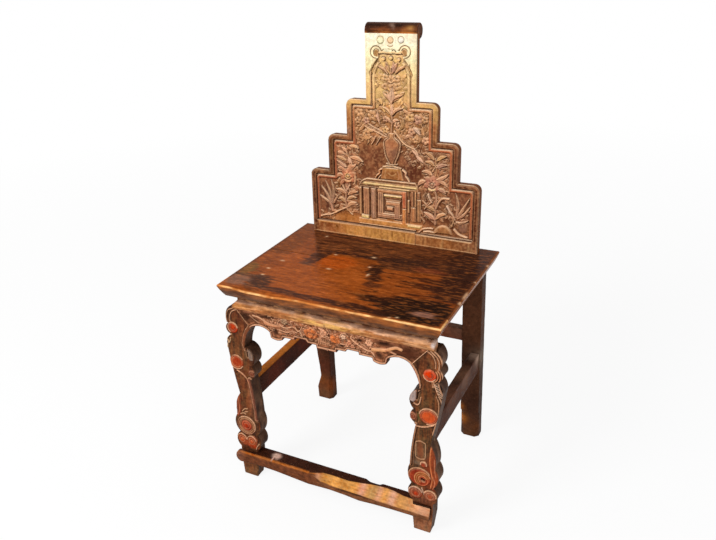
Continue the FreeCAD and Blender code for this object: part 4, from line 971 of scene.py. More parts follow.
# The seat: two wide boards dowelled together, on a moulded edge that slopes in below the arris. Thick
# brown lacquer, polished orange where it is sat on, cracked along the grain to near black on the right.
seat_front_width = 516
seat_taper = 3
seat_depth = 387
seat_joint = 210
seat_top_profile = ((0, 497.6), (0.5, 498.8), (1.2, 499.5), (2.5, 499.9), (5, 500), (200, 500))
seat_under_profile = ((0, 495.5), (0.5, 494), (1.5, 491), (4.4, 484), (7.2, 478), (11, 471), (12, 470),
    (200, 470))
edge_spacing = [0, 0.3, 0.8, 1.5, 2.5, 3.5, 4.4, 5.8, 7.2, 9, 11, 12, 14, 17]
board_step = 1.6
seat_orange = (60, 29, 9)
edge_brown = (36, 21, 13)
seat_black = (13, 8, 6)


def seat_colour(x, y, inset):
    """The lacquer of the seat's top at places in plan."""
    shade = np.tile(linear(seat_orange), x.shape + (1,))
    grain, broad = cloud(x / 8, y, 6.5, 41), cloud(x / 3, y, 24, 42)
    fine = cloud(x / 5, y, 3, 43)

    def lay(amount, colour):
        nonlocal shade
        shade = mixed(shade, linear(colour), held(amount)[..., None])

    def patch(cx, cy, w, h, colour, amount, ragged=1):
        near = np.exp(-((x - cx) / (w / 2)) ** 2 - ((y - cy) / (h / 2)) ** 2)
        lay(amount * held(3.6 * near - 0.5 + ragged * grain) * (near > 0.03), colour)

    lay(0.5 * held(2 * broad), (66, 33, 12))
    lay(0.35 * held(-2 * broad), (50, 25, 11))
    lay(held((-x - 190 + 8 * broad) / 14) * np.clip((y - 186) / 12, 0.35, 1), (50, 25, 7))
    lay(held((y - 205) / 8) * 0.5, (50, 25, 8))
    patch(-68, 196, 84, 56, (70, 31, 8), 0.9, 0.4)
    # ... near the back a painted reflection of the back panel darkens the lacquer, with a slanting left
    # margin
    low = np.interp(x, [-150, -112, -98, 5, 35, 60, 180, 215, 250], [196, 172, 233, 238, 210, 204, 204, 130,
        96])
    left = np.interp(y, [170, 233, 346], [-114, -146, -213])
    behind = held((y - low + 12 * grain) / 9) * held((x - left + 3 * grain) / 8)
    lay(0.93 * behind, (33, 18, 11))
    lay(behind * held(1.8 * grain) * 0.55, (50, 29, 16))
    lay(behind * held(-2.2 * grain) * 0.6, (17, 9, 7))
    # ... cracks along the grain, closer together toward the right
    dry = held((x - 42) / 150) * held((206 - y) / 16)
    lay(0.92 * held((grain - 0.34 + 0.55 * dry) * 6) * held(dry * 6), (15, 7, 5))
    lay(0.5 * dry, (40, 19, 9))
    patch(198, 34, 120, 56, seat_black, 0.92, 0.45)
    patch(170, 66, 110, 30, seat_black, 0.75, 0.6)
    # the pale patches at the right front corner (206, 40) and the left front corner (-234, 40) are painted
    # highlights
    for spot in (
            (34, 186, 34, 44, (16, 9, 7), 0.95), (48, 150, 26, 40, (20, 10, 7), 0.9), (58, 118, 40, 20,
            (30, 15, 9), 0.8), (-20, 246, 170, 16, (18, 10, 9), 0.8), (90, 250, 110, 40, (20, 12, 10), 0.8),
            (-125, 196, 34, 60, (24, 14, 10), 0.8), (-132, 168, 30, 14, (34, 22, 16), 0.6),
            (150, 226, 80, 20, (48, 22, 12), 0.7), (226, 190, 76, 170, (20, 11, 8), 0.85),
            (212, 290, 90, 110, (21, 12, 9), 0.8), (165, 70, 180, 44, (18, 9, 6), 0.9), (194, 36, 160, 72,
            seat_black, 0.97), (226, 64, 70, 60, seat_black, 0.93), (135, 18, 150, 28, seat_black, 0.9),
            (60, 20, 140, 24, (22, 11, 7), 0.9), (-25, 22, 100, 20, (26, 13, 8), 0.85), (-125, 26, 110, 18,
            (27, 14, 9), 0.9), (-180, 44, 62, 60, (24, 14, 9), 0.92), (-234, 40, 66, 44, (54, 37, 28), 0.9),
            (-225, 66, 70, 9, (28, 17, 11), 0.8), (-240, 100, 34, 46, (44, 35, 17), 0.6), (206, 40, 46, 15,
            (56, 39, 32), 0.95)):
        patch(*spot)
    lay(held(2 * fine - 0.2) * 0.3, (26, 12, 7))
    lay(held(-2 * fine - 0.3) * 0.3, (78, 44, 20))
    for cx, cy, w, h in (
            (-189, 160, 12, 7), (-68, 159, 13, 7), (-197, 113, 10, 6), (-191, 80, 9, 6), (1, 250, 12, 7),
            (-89, 233, 8, 6), (-162, 323, 7, 9), (149, 6, 8, 5), (163, 12, 7, 5), (28, 162, 6, 14),
            (14, 200, 8, 7)):
        lay(1.1 * np.exp(-((x - cx) / (0.4 * w)) ** 2 - ((y - cy) / (0.4 * h)) ** 2), (90, 72, 55))
    # painted highlight along the arris: a bright, broken line at the front, and along the sides a lighter
    # line with a darker band inside it
    rubbed = 0.55 + 0.9 * cloud(x / 2, y, 13, 48) + 0.35 * held(x / 160)
    rubbed = np.clip(rubbed, 0.05, 1) * (y < 40)
    lay(bell(inset, 3, 4) * 0.7 * rubbed, (64, 33, 13))
    lay(bell(inset, 1, 1.6) * (0.5 + 0.5 * rubbed) * (y < 40), (92, 56, 25))
    lay(bell(inset, 0.8, 1.2) * rubbed, (99, 80, 54))
    lay(bell(inset, 4, 3) * 0.7 * (y >= 40), (32, 17, 9))
    lay(bell(inset, 1, 1.6) * 0.9 * (y >= 40), (56, 31, 13))
    for cy, h in ((147, 30), (300, 10), (212, 6), (112, 12)):
        lay(np.exp(-((inset - 1.5) / 3) ** 2 - ((y - cy) / (h / 2)) ** 4) * (x > 0) * 0.8, (85, 66, 50))
    return shade


def seat_plank(name, node, y0, y1):
    """A seat board from front to back, its moulded edges on the outer sides only."""
    first, last = (edge_spacing if y0 == 0 else [0, 0.4, 1]), (edge_spacing if y1 > 380 else [0, 0.4, 1])
    ys = np.concatenate([y0 + np.array(first), np.arange(y0 + first[-1] + board_step, y1 - last[-1] - 1,
        board_step), y1 - np.array(last[::-1])])
    loops, shades = [], []
    for y in ys:
        half = seat_front_width / 2 - seat_taper * y / seat_depth
        side = np.array(edge_spacing)
        inner = np.linspace(-half + side[-1], half - side[-1], 150)[1:-1]
        xs = np.concatenate([-half + side, inner, half - side[::-1]])
        inset = np.minimum(half - np.abs(xs), min(y, seat_depth - y))
        top = np.interp(inset, *zip(*seat_top_profile))
        dip = 0.35 * (1 + np.sin(0.023 * xs + 0.4) * np.sin(0.03 * y + 1)) * held(inset / 12)
        top = top - dip * 0.5 - 0.7 * bell(y, seat_joint, 0.9)
        worn = 4.6 * bell(xs, -150, 62, 4) + 1.6 * bell(xs, 60, 90, 4)
        worn = worn + 0.9 * held(cloud(xs, 0 * xs, 17, 49))
        top = top - worn * bell(y, 0, 6, 1.5)
        under = np.minimum(np.interp(inset, *zip(*seat_under_profile)), top - 1)
        across = np.stack([xs, np.full(xs.shape, y), top], -1)
        below = np.stack([xs, np.full(xs.shape, y), under], -1)[::-1]
        loops.append(np.vstack([across, below]))
        upper = seat_colour(xs, np.full(xs.shape, float(y)), inset)
        upper *= 1 - 0.6 * bell(y, seat_joint, 1)
        lower = np.tile(linear(edge_brown), (len(xs), 1))
        blotch = held(0.6 + 0.7 * cloud(xs / 4, inset * 2.5, 6, 46) - inset / 16)
        lower += blotch[:, None] * (linear((66, 38, 18)) - linear(edge_brown))
        dusty_low = held(inset / 8 - 0.4 + 0.5 * cloud(xs / 5, inset, 5, 47)) * (inset < 12)
        lower += dusty_low[:, None] * (linear((43, 34, 28)) - lower) * 0.5
        lower[inset >= 12] = linear(bare_wood) * 0.7
        shades.append(np.vstack([upper, lower[::-1]]))
    assemble(name, [skin(np.array(loops), np.array(shades))], node, "seat_lacquer", seat_lacquer,
        sharp_degrees=50)


seat_lacquer = lacquered("seat_lacquer", (9, 240, 40), streaks=0.25, rough=(0.14, 0.34), pits=0.4,
    fleck=(14, 8, 5), specular=0.02, blotch_scale=70)
seat_plank("board_in_front", "seat_front_board", 0, seat_joint)
seat_plank("board_behind", "seat_rear_board", seat_joint, seat_depth)

# The back: a tall centre board and two wings in three steps, dowelled edge to edge and leaning back.
# The face is carved with a vase of flowers on an altar table between two flowering plants, inside a
# groove and bead that follow the steps, then lacquered and gilt; the gilding is rubbed on the high places.
back_front_y = 348.7
back_thickness = 19.5
back_rake = radians(2.75)
tier_half_widths = (214, 214 - 152 / 3, 214 - 304 / 3, 62)
tier_tops = (161, 249, 334, 478)
tier_corner = 16
seat_height = 500
field_level, field_depth = -3.6, 5
pale_gilt = (99, 95, 76)
bar_gold = (99, 90, 60)
gold_leaf = (84, 65, 42)
tan_leaf = (72, 53, 36)
pinkish = (80, 59, 46)
pale_pink = (92, 74, 63)
lavender = (68, 50, 43)
leaf_tone = (66, 44, 31)
dull_brown = (52, 34, 23)
corner_cut = 4.69


def steps_line(inset, foot, ogee):
    """The stepped line at an inset from the edge, from the right foot up to the top of the tower."""
    half = [w - inset for w in tier_half_widths]
    top = [z - inset for z in tier_tops]
    r = 5
    right = [(half[0], foot)]
    for k in range(3):
        right += [(half[k], top[k] - r), (half[k] - 0.3 * r, top[k] - 0.3 * r), (half[k] - r, top[k]),
                  (half[k + 1], top[k])]
    return right + [(half[3] + dx, z) for dx, z in ogee]


def rising(z, *stops):
    """Colours that change up the face, given at some heights."""
    colours = np.array([linear(colour) for _, colour in stops])
    return np.stack([np.interp(z, [at for at, _ in stops], colours[:, k]) for k in range(3)], -1)


def circle(cx, cz, r, first=0, last=tau, tall=1):
    """Points round a circle, or an upright oval."""
    return [(cx + r * cos(a), cz + tall * r * sin(a)) for a in np.linspace(first, last, 26)]


panel = CarvedFace(-216, 216, -1, 480, 1, field_level, dull_brown)
x, z = panel.x, panel.z
panel.paint[:] = rising(z, (0, (54, 34, 22)), (150, (50, 32, 21)), (240, (56, 37, 23)), (310, (68, 49, 29)),
    (350, (85, 68, 41)), (430, (90, 73, 44)))
panel.mottle((80, 57, 38), (36, 20, 12), 10, 0.4, 21)

# ... small leaves and petals crowd the ground, the main forms stand above them
growth = np.random.default_rng(3)
for low_x, high_x, low_z, high_z, count, tone in (
        (-146, -84, 158, 230, 110, leaf_tone), (80, 142, 158, 230, 110, leaf_tone), (-94, -14, 240, 314, 120,
        tan_leaf), (14, 92, 240, 314, 120, tan_leaf), (-38, 38, 310, 416, 80, (90, 71, 44)),
        (-150, -88, 62, 150, 70, leaf_tone), (76, 148, 62, 150, 80, leaf_tone), (-196, -150, 38, 66, 16,
        leaf_tone), (28, 90, 190, 240, 40, dull_brown), (150, 190, 60, 100, 16, dull_brown)):
    for _ in range(count):
        px, pz, turn = growth.uniform(low_x, high_x), growth.uniform(low_z, high_z), growth.uniform(0, tau)
        reach = growth.uniform(6, 16)
        end = (px + reach * cos(turn), pz + reach * sin(turn))
        knee = ((px + end[0]) / 2 - 0.2 * (end[1] - pz), (pz + end[1]) / 2 + 0.2 * (end[0] - px))
        shaded = np.clip(np.array(tone) * growth.uniform(0.62, 1.14), 0, 100)
        panel.leaf([(px, pz), knee, end], growth.uniform(4, 9), growth.uniform(0.8, 2.4), shaded)
panel.wash(((29, 15, 9), -58, 171, 78, 50, 0.95), ((42, 25, 17), -50, 206, 66, 40, 0.85),
    ((33, 19, 13), 50, 174, 52, 40, 0.95), ((48, 32, 25), 44, 206, 50, 44, 0.75), ((84, 56, 29), -30, 42, 240,
    30, 0.95), ((74, 47, 23), -118, 48, 74, 34, 0.9), ((38, 24, 18), -170, 92, 56, 104, 0.9),
    ((42, 27, 21), 164, 116, 58, 56, 0.9), ((58, 37, 26), 178, 84, 40, 50, 0.8), ((36, 26, 19), 85, 124, 22,
    26, 0.9), ((40, 22, 14), 90, 62, 44, 34, 0.8), ((56, 38, 18), -138, 124, 20, 30, 0.8),
    ((46, 34, 18), -46, 298, 34, 30, 0.7), ((60, 44, 28), 26, 286, 36, 50, 0.7), ((48, 33, 19), 78, 274, 16,
    44, 0.7), ((40, 25, 13), -78, 252, 24, 20, 0.6), ((42, 24, 15), 126, 196, 26, 40, 0.6),
    ((44, 29, 14), -20, 292, 20, 30, 0.6), ((38, 22, 13), 82, 190, 20, 14, 0.6))

# ... the border, its groove and the bead inside it, and the plain band at the foot
groove_line = steps_line(13, 31, [(0, 318), (0, 385), (3, 392), (-3, 404), (-9, 414), (-15, 421)])
bead_line = steps_line(18.5, 36, [(-1, 316), (-1, 384), (-2, 394), (-6, 404), (-13, 414), (-17, 423)])
outer = np.ones(x.shape, bool)
for half, top in zip(tier_half_widths, tier_tops):
    outer &= ~((np.abs(x) < half - 13) & (z < top - 12.5) & (z > 31))
field_half = np.interp(z, [385, 392, 404, 414, 424, 440], [49, 50, 46, 40, 33, 28])
outer |= (np.abs(x) < 50) & (z > 380) & ((np.abs(x) > field_half) | (z > 425))
panel.height[outer] = -0.4
panel.paint[outer] = rising(z, (0, (30, 13, 7)), (150, (33, 16, 9)), (225, (37, 20, 11)), (262, (50, 30, 17)),
    (322, (86, 68, 40)), (380, (97, 84, 58)), (400, (98, 91, 67)), (430, pale_gilt), (465,
    (99, 98, 86)))[outer]
band = z < 30
across = rising(x, (-205, (50, 27, 14)), (-160, (60, 35, 18)), (-115, (82, 55, 27)), (-60, (87, 63, 33)),
    (50, (85, 62, 33)), (64, (72, 48, 28)), (140, (68, 43, 23)), (195, (50, 32, 21)))
panel.paint[band] = across[band]
drips = 0.6 * cloud(x, z / 6, 13, 23) + 0.5 * cloud(x, z / 9, 4, 25)
panel.tint(band, (0.6 * held(1.6 * drips - 0.1))[band], (50, 27, 12))
panel.tint(band, (0.4 * held(-1.6 * drips - 0.2))[band], (94, 76, 50))
panel.wash(((60, 34, 18), 105, 276, 12, 34, 0.8), ((48, 37, 19), 108, 260, 10, 22, 0.6),
    ((22, 7, 3), -209, 84, 16, 150, 0.85), ((24, 11, 8), 159, 206, 26, 100, 0.9), ((66, 40, 20), -107, 290,
    12, 50, 0.8), ((52, 40, 34), -108, 260, 12, 22, 0.8), ((44, 34, 16), -154, 212, 8, 34, 0.8),
    ((33, 17, 12), 156, 200, 16, 60, 0.8), ((66, 52, 42), 120, 250, 18, 8, 0.7), ((66, 50, 40), -146, 247, 30,
    7, 0.7), ((34, 22, 12), -172, 156, 50, 14, 0.7), ((30, 17, 12), 180, 158, 30, 12, 0.6),
    ((46, 27, 9), -147, 20, 7, 12, 0.9), ((50, 30, 10), 2, 19, 5, 22, 0.8), ((26, 14, 8), -208, 20, 16, 40,
    0.8), ((52, 31, 14), 34, 14, 4, 30, 0.6), ((46, 28, 16), 82, 16, 5, 28, 0.7), ((48, 28, 14), 131, 16, 5,
    30, 0.6))
edge = [(214, 0)]
for half, top, next_half in zip(tier_half_widths, tier_tops, tier_half_widths[1:]):
    start = (half, top - tier_corner)
    edge += [start] + arc(start, (half - corner_cut, top - corner_cut), (half - tier_corner, top))
    edge.append((next_half, top))
edge.append((62, 478))


def near_line(line, sign, reach):
    """The part of the face near a line or its twin, its distance from it, and the height there."""
    part, gap, _ = panel.along(np.array(line, float).reshape(-1, 2) * (sign, 1), reach)
    return part, gap, panel.z[part]


for sign in (-1, 1):
    part, gap, up = near_line(bead_line, sign, 6)
    panel.raise_to(part, 1 - (gap / 3.6) ** 2, 2.9, None)
    strip = rising(up, (0, (54, 22, 11)), (150, (54, 22, 12)), (236, (64, 31, 15)), (318, (68, 43, 26)),
        (335, (90, 70, 46)), (400, (96, 84, 60)))
    panel.blend(part, np.clip(1.5 - gap / 2.2, 0, 0.95), strip)
    # a thin pale line along the bead's flank: painted highlight
    fine = rising(up, (236, (82, 60, 47)), (330, (96, 82, 58)))
    panel.blend(part, 0.55 * bell(gap, 3, 0.7), fine)
    part, gap, up = near_line(groove_line, sign, 4)
    # the groove is painted dark, darkest and deepest where it runs level under a step: painted shadow under
    # the step's edge
    level_run = sum(bell(up - top, -13, 4) for top in tier_tops[:3])
    reach = gap / (1 + 0.5 * level_run)
    deep = np.where(up > 330, 0.7, 1.1 + 0.6 * level_run)
    panel.height[part] -= held(1.2 - 1.2 * (reach / 1.7) ** 2) * deep
    tone = rising(up, (0, (28, 10, 4)), (240, (34, 14, 6)), (322, (40, 18, 7)), (345, (62, 43, 20)),
        (400, (60, 47, 24)))
    panel.blend(part, np.clip((1.5 - reach / 1.4) * (0.6 + 0.4 * level_run), 0, 0.95), tone)
    part, gap, up = near_line(edge, sign, 8)
    # painted shade on the rounded outer edge, strongest low down, and a painted highlight line on its arris
    dim = held(1.3 - up / 330)
    panel.tint(part, 0.85 * held(1.6 - gap / 2) * dim, (24, 13, 8))
    panel.tint(part, 0.7 * bell(gap, 4.4, 0.9) * held(dim + 0.2), (76, 56, 42))
panel.groove([-201, 31, -60, 31.5, 60, 32], 4.8, 2.4, (24, 10, 3))
panel.groove([62, 29.5, 130, 28.5, 198, 28], 4.4, 2.4, (22, 11, 6))
for run in (
        [-198, 27.5, -80, 28], [-60, 28, 60, 28], [66, 25.5, 196, 24.5], [-206, 2, 208, 2],
        [-84, 36.5, 62, 36.5]):
    panel.ridge(run, 2, 3.6, (90, 72, 52), 0)
panel.groove([62.2, 0, 62.2, 33], 1.6, 0.6, (40, 23, 12), smooth=False)

# ... the volutes on the tower, the bracket between them, and the pearls
for cx, cz, way, core in ((-35, 438, 1, (64, 48, 28)), (34, 440, -1, (72, 55, 35))):
    panel.disc(cx, cz, 15, 3.3, pale_gilt)
    first, last = (0.25, 4.7) if way > 0 else (-1.6, 2.9)
    panel.groove(circle(cx, cz, 13.2, first, last), 2.6, 1, (44, 35, 17))
    panel.plate(circle(cx + way, cz - 2, 6.2, tall=1.2), 3, core, 2.5)
    panel.groove(circle(cx + way, cz - 1, 7, 0.4, 4.2 if way > 0 else 5.6, 1.15), 2.2, 0.9, (50, 35, 15))
    panel.wash(((40, 28, 12), cx - 4, cz + 3, 6, 6, 0.6))
inside_tower = (np.abs(x) < 30) & (z > 416) & (z < 436)
panel.height[inside_tower] = field_level + 0.4
panel.tint(inside_tower, 0.8, (90, 72, 44))
panel.ridge([-26, 437, -18, 439, -9, 437, 0, 438, 8, 439, 15, 437, 26, 440], 4.2, 3.6, (98, 84, 60), 0)
for width, depth, colour, *points in (
        (3, 0.8, (56, 37, 13), -27, 433, -18, 435, -9, 433, 0, 434, 8, 435, 15, 433, 27, 435),
        (2.6, 0.8, (38, 30, 10), 4, 442, 8, 444, 13, 440), (2.4, 0.7, (44, 36, 14), 18, 443, 22, 443),
        (2.4, 0.7, (42, 34, 14), -21, 441, -17, 444), (1.8, 0.5, (72, 50, 30), -8, 453, 0, 450, 6, 453),
        (1.8, 0.5, (60, 54, 26), -6, 446, 0, 445, 5, 446), (1.8, 0.5, (66, 54, 30), -48, 388, -52, 394, -47,
        402, -45, 412), (2.6, 0.9, (50, 38, 14), -47, 388, -42, 397, -38, 405, -37, 413, -31, 420),
        (2.2, 0.7, (60, 44, 24), 50, 386, 50, 397, 46, 405, 45, 414), (2.4, 0.8, (54, 44, 20), 30, 421, 38,
        414, 35, 402), (1.8, 0.5, (70, 54, 30), 35, 401, 41, 394, 46, 388)):
    panel.groove(points, width, depth, colour)
for cx, cz, r, ring, core in (
        (-24, 464, 7.6, (66, 66, 42), (99, 97, 80)), (0, 464, 6.4, (80, 66, 42), (98, 86, 68)),
        (25, 465, 6.8, (62, 62, 50), (100, 100, 94)), (-18, 424, 4.8, (62, 38, 16), (94, 78, 50)),
        (0, 426, 4.4, (46, 34, 14), (86, 72, 44)), (19, 423, 4.2, (76, 56, 30), (90, 72, 44))):
    panel.disc(cx, cz, r, 3.8, core)
    panel.groove(circle(cx, cz, r + 0.4), 1.8, 0.6, ring)

# ... flowers and leaves that rise from the vase, a branch to each side
panel.ridges(0.1, (3.4, 2.4, lavender, 0, 262, 2, 290, 0, 320, 1, 350, 0, 395), (3.6, 3.2, pinkish, -12, 257,
    -24, 264, -44, 272, -62, 282), (3.4, 3, pinkish, -14, 252, -30, 259, -50, 266, -66, 273),
    (4.2, 3.2, (84, 67, 52), 8, 266, 18, 254, 30, 241, 44, 234, 58, 229), (4, 3.2, pale_pink, 56, 230, 62,
    224, 67, 214), (3.4, 3, (82, 64, 54), -26, 250, -32, 242, -38, 232), (3.4, 3, pinkish, -40, 250, -44, 240,
    -50, 232))
for cx, cz, r, petals, tone in (
        (-46, 298, 14, 6, tan_leaf), (-62, 286, 9, 5, lavender), (-80, 304, 11, 5, (88, 66, 46)),
        (-84, 284, 9, 5, tan_leaf), (-62, 256, 11, 5, tan_leaf), (-14, 268, 9, 5, gold_leaf),
        (64, 296, 12, 5, lavender), (46, 300, 11, 5, gold_leaf), (82, 296, 9, 5, tan_leaf),
        (50, 268, 10, 5, pinkish), (84, 250, 10, 5, pinkish), (60, 250, 9, 5, tan_leaf), (14, 280, 8, 5,
        pinkish), (-14, 292, 8, 5, pinkish), (-15, 365, 9, 3, (82, 62, 42)), (16, 366, 10, 4, (84, 64, 42)),
        (3, 363, 11, 5, (80, 60, 42)), (-14, 384, 9, 4, (84, 66, 44)), (15, 382, 8, 3, (80, 62, 42)),
        (1, 378, 13, 7, (86, 66, 46))):
    panel.bloom(cx, cz, r, petals, 3.2, tone, 0.07 * cx, heart=0.14)
panel.leaves((11, 3.4, (74, 53, 40), 1, 394, -8, 404, -12, 418), (8, 3.2, (80, 60, 44), -8, 393, -19, 402,
    -32, 410), (12, 3.4, (70, 50, 41), 3, 395, 8, 406, 15, 416), (8, 3.2, (80, 60, 42), 10, 394, 21, 403, 36,
    412), (7, 3, gold_leaf, -2, 392, -6, 402, -6, 410), (7, 2.8, lavender, 2, 398, 6, 412, 5, 420),
    (9, 3.2, (82, 62, 46), 0, 332, -11, 343, -20, 352), (9, 3.2, (80, 58, 42), 2, 331, 14, 342, 28, 348),
    (17, 3.6, (80, 64, 52), 1, 330, 2, 346, 3, 362), (5, 3.8, (92, 72, 58), -2, 336, -6, 346, -9, 356),
    (9, 3.2, gold_leaf, -1, 303, -10, 312, -22, 321), (9, 3.2, (76, 56, 42), 3, 303, 13, 314, 30, 319),
    (8, 3, pinkish, 2, 284, 10, 291, 19, 291), (8, 3, pinkish, -1, 286, -9, 293, -18, 297),
    (8, 3.2, pale_pink, 1, 304, 2, 314, 1, 328), (7, 3.4, (90, 70, 58), -34, 308, -33, 295, -28, 280),
    (10, 3.2, (80, 69, 62), 55, 277, 63, 272, 71, 262), (9, 3.2, pale_pink, 62, 214, 70, 208, 80, 200),
    (7, 3.2, pale_pink, 52, 226, 60, 220, 64, 212), (8, 3.2, (90, 72, 50), -60, 268, -53, 264, -46, 262),
    (9, 3, (78, 58, 38), -70, 252, -60, 246, -48, 250), (9, 3, (74, 52, 34), -80, 262, -72, 270, -66, 280),
    (10, 3, (58, 44, 26), 20, 270, 28, 280, 30, 296), (8, 3, (72, 52, 34), 80, 262, 76, 272, 78, 284),
    (9, 3, (66, 50, 40), 34, 252, 44, 258, 54, 256), (8, 3, (84, 62, 44), 30, 316, 40, 310, 52, 312))
for width, *points in (
        (3.4, -31, 405, -20, 400, -13, 394), (3.4, 35, 411, 32, 404, 22, 400, 11, 391), (2.8, -11, 413, -5,
        408, -2, 398), (3.2, -18, 345, -10, 338, -2, 328), (3.2, 3, 328, 10, 337, 24, 343),
        (2.6, -20, 316, -10, 311, -2, 302), (3, 4, 299, 13, 309, 28, 315), (2.6, 13, 283, 18, 289),
        (2.4, -8, 374, 0, 371, 8, 375), (2.4, 9, 386, 13, 382), (2.6, -58, 275, -40, 269, -20, 260),
        (3, 32, 237, 40, 232, 50, 225), (2.2, 2, 290, 5, 286), (2.4, 1, 404, 2, 396), (2.2, -28, 274, -36,
        268), (2.4, 44, 290, 56, 290, 58, 300)):
    panel.groove(points, width, 1.2, (44, 25, 10))

# ... the vase on its stand
vase_right = [(7, 262), (7, 252), (15, 246), (21, 239), (20, 226), (16, 210), (10, 197), (8, 190)]
vase_left = [(-6, 262), (-5, 252), (-13, 246), (-17, 239), (-16, 226), (-13, 210), (-7, 198), (-2, 190)]
panel.plate(np.vstack([bent(vase_right), bent(vase_left[::-1])]), 3.3, (60, 40, 28), 2)
panel.wash(((68, 44, 29), 4, 236, 34, 18, 0.8), ((52, 38, 30), 10, 212, 18, 34, 0.7), ((66, 47, 36), -6, 222,
    12, 36, 0.6), ((78, 58, 40), 1, 256, 14, 16, 0.8))
for side_line, inward in ((vase_right, -1), (vase_left, 1)):
    panel.ridge([(px - 1.5 * inward, pz) for px, pz in side_line], 2.6, 3.7, (76, 58, 46), 0)
    panel.groove([(px + 2.4 * inward, pz) for px, pz in side_line[2:]], 2.2, 1, (36, 20, 13))
panel.plate([-22, 181, 25, 181, 28, 166, 31, 152, -28, 152, -25, 166], 2.8, (60, 38, 20), 2)
panel.wash(((74, 53, 30), 2, 177, 46, 8, 0.9))
panel.ridges(0.2, (4, 3.4, (78, 60, 38), -21, 181, -8, 184, 8, 184, 24, 181), (3, 3.6, (74, 55, 36), -12, 190,
    2, 188, 15, 190), (5, 3.8, (84, 50, 30), -24, 176, -30, 172, -30, 165, -36, 160, -40, 154),
    (4, 3.6, pinkish, -27, 160, -33, 152), (5, 3.8, pale_pink, 29, 178, 36, 172, 36, 165, 42, 158, 45, 152),
    (3, 3.2, (74, 54, 34), -14, 174, -16, 160, -14, 154), (3, 3.2, (70, 48, 32), 16, 174, 20, 162, 18, 154),
    (3, 3.2, (78, 58, 36), -8, 168, 2, 162, 12, 168))

# ... the altar table with its fret of bars
panel.plate([-86, 50, 78, 50, 80, 37, -88, 37], 2.2, (84, 58, 31), 2)
panel.plate([-84, 128, -80, 138, -72, 146, -58, 151, 60, 151, 66, 142, 68, 128], 2.2, (58, 41, 28), 1.5)
panel.ridge([-83, 131, -77, 141, -66, 147, -50, 149, 58, 149], 3.4, 3.4, (74, 57, 42), 0)
panel.groove([-76, 138, -66, 143.5, -40, 144, 62, 144], 2.4, 1, (42, 26, 13))
for x0, x1, z0, z1, tone in (
        (-84, -78, 58, 127, (62, 46, 32)), (-73, -58, 60, 127, (62, 42, 30)), (-53, -41, 52, 127,
        (68, 52, 43)), (-35, -21, 57, 127, (64, 48, 38)), (-36, 38, 118, 128, (66, 45, 30)),
        (27, 38, 86, 127, (73, 35, 22)), (27, 38, 48, 86, (86, 55, 29)), (-36, 27, 57, 69, (66, 47, 36)),
        (8, 22, 60, 98, (66, 48, 38)), (-14, 22, 89, 100, (72, 50, 36)), (-12, 4, 77, 86, (78, 55, 40)),
        (41, 46, 76, 108, (66, 50, 36)), (50, 56, 92, 130, (50, 27, 18)), (50, 62, 56, 92, (70, 45, 28)),
        (64, 75, 58, 112, (62, 44, 29)), (58, 63, 92, 130, (64, 46, 31)), (65, 72, 112, 130, (44, 26, 19))):
    panel.plate([(x0, z0), (x1, z0), (x1, z1), (x0, z1)], 3, tuple(1.19 * c for c in tone), 1.6)
    if x1 - x0 > 9:
        long, mid_x, mid_z = z1 - z0 > x1 - x0, (x0 + x1) / 2, (z0 + z1) / 2
        for off in (-2.6, 2.6):
            points = [(mid_x + off, z0 + 2), (mid_x + off, z1 - 2)] if long else [(x0 + 2, mid_z + off),
                (x1 - 2, mid_z + off)]
            panel.groove(points, 1.8, 0.8, tuple(0.72 * c for c in tone), smooth=False)
for line in (
        [-76, 58, -76, 126], [-55.5, 60, -55.5, 112], [-38, 52, -38, 128], [-18, 72, -18, 110],
        [-38, 54, -14, 54], [8, 54, 24, 54], [-18, 73, 4, 73], [44, 50, 44, 76], [44, 108, 44, 134],
        [-14, 88, 6, 88], [24, 62, 24, 106], [-14, 104, 22, 104], [-83, 131, -56, 131.5, -33, 131.5]):
    panel.groove(line, 3.2, 1.3, (25, 13, 7))
for x0, x1, z0, z1 in (
        (-72, 64, 135.5, 140.5), (-31, 46, 129, 133), (-79, -58, 50.5, 59.5), (42, 75, 42.5, 48.5),
        (-20, 27, 110.5, 116)):
    panel.plate([(x0, z0), (x1, z0), (x1, z1), (x0, z1)], 3.7, bar_gold, 1.6)
panel.groove([-30, 134.4, 60, 134.4], 1.8, 1, (46, 30, 12))

# ... the flowering plants, orchids, rocks and ground on the wings
panel.ridges(0.3, (5, 2.8, lavender, -120, 70, -121, 90, -119, 110, -116, 130), (5, 2.8, lavender, 110, 58,
    110, 90, 112, 118, 108, 138), (4, 2.6, tan_leaf, -112, 162, -108, 182, -116, 210), (4, 2.6, tan_leaf, 106,
    164, 110, 182, 108, 212), (9, 3.2, (78, 56, 46), -163, 78, -160, 68, -158, 58), (5, 3.4, (84, 61, 46),
    -191, 40, -176, 45, -162, 48, -150, 54), (5, 3.4, (84, 60, 44), -150, 54, -136, 62, -120, 70, -106, 77,
    -90, 81), (4, 3, (78, 56, 38), -119, 68, -110, 60, -104, 54), (4, 3.4, pale_pink, -129, 127, -125, 119,
    -121, 112), (4, 3.4, pale_pink, -110, 127, -114, 119, -118, 112), (6, 3.2, (80, 64, 50), -97, 158, -94,
    146, -96, 132), (6, 3.4, (92, 80, 72), 138, 104, 145, 93, 152, 84), (5, 3.4, (92, 80, 72), 92, 127, 96,
    117, 101, 109), (7, 3.2, pinkish, 157, 50, 165, 42, 175, 38, 187, 36), (5, 3.2, pinkish, 71, 34, 80, 42,
    96, 46, 104, 46), (5, 3.4, (88, 64, 48), 83, 36, 97, 38, 109, 37, 118, 43), (6, 3.2, pinkish, 141, 122,
    127, 121, 117, 110, 112, 96), (4, 3, (72, 54, 42), 102, 182, 108, 193, 112, 197, 119, 188),
    (4, 3, tan_leaf, 150, 82, 154, 70, 150, 58), (4, 3, (80, 52, 38), 79, 111, 88, 102, 97, 93),
    (4, 3, (76, 50, 38), 99, 109, 91, 100, 83, 91))
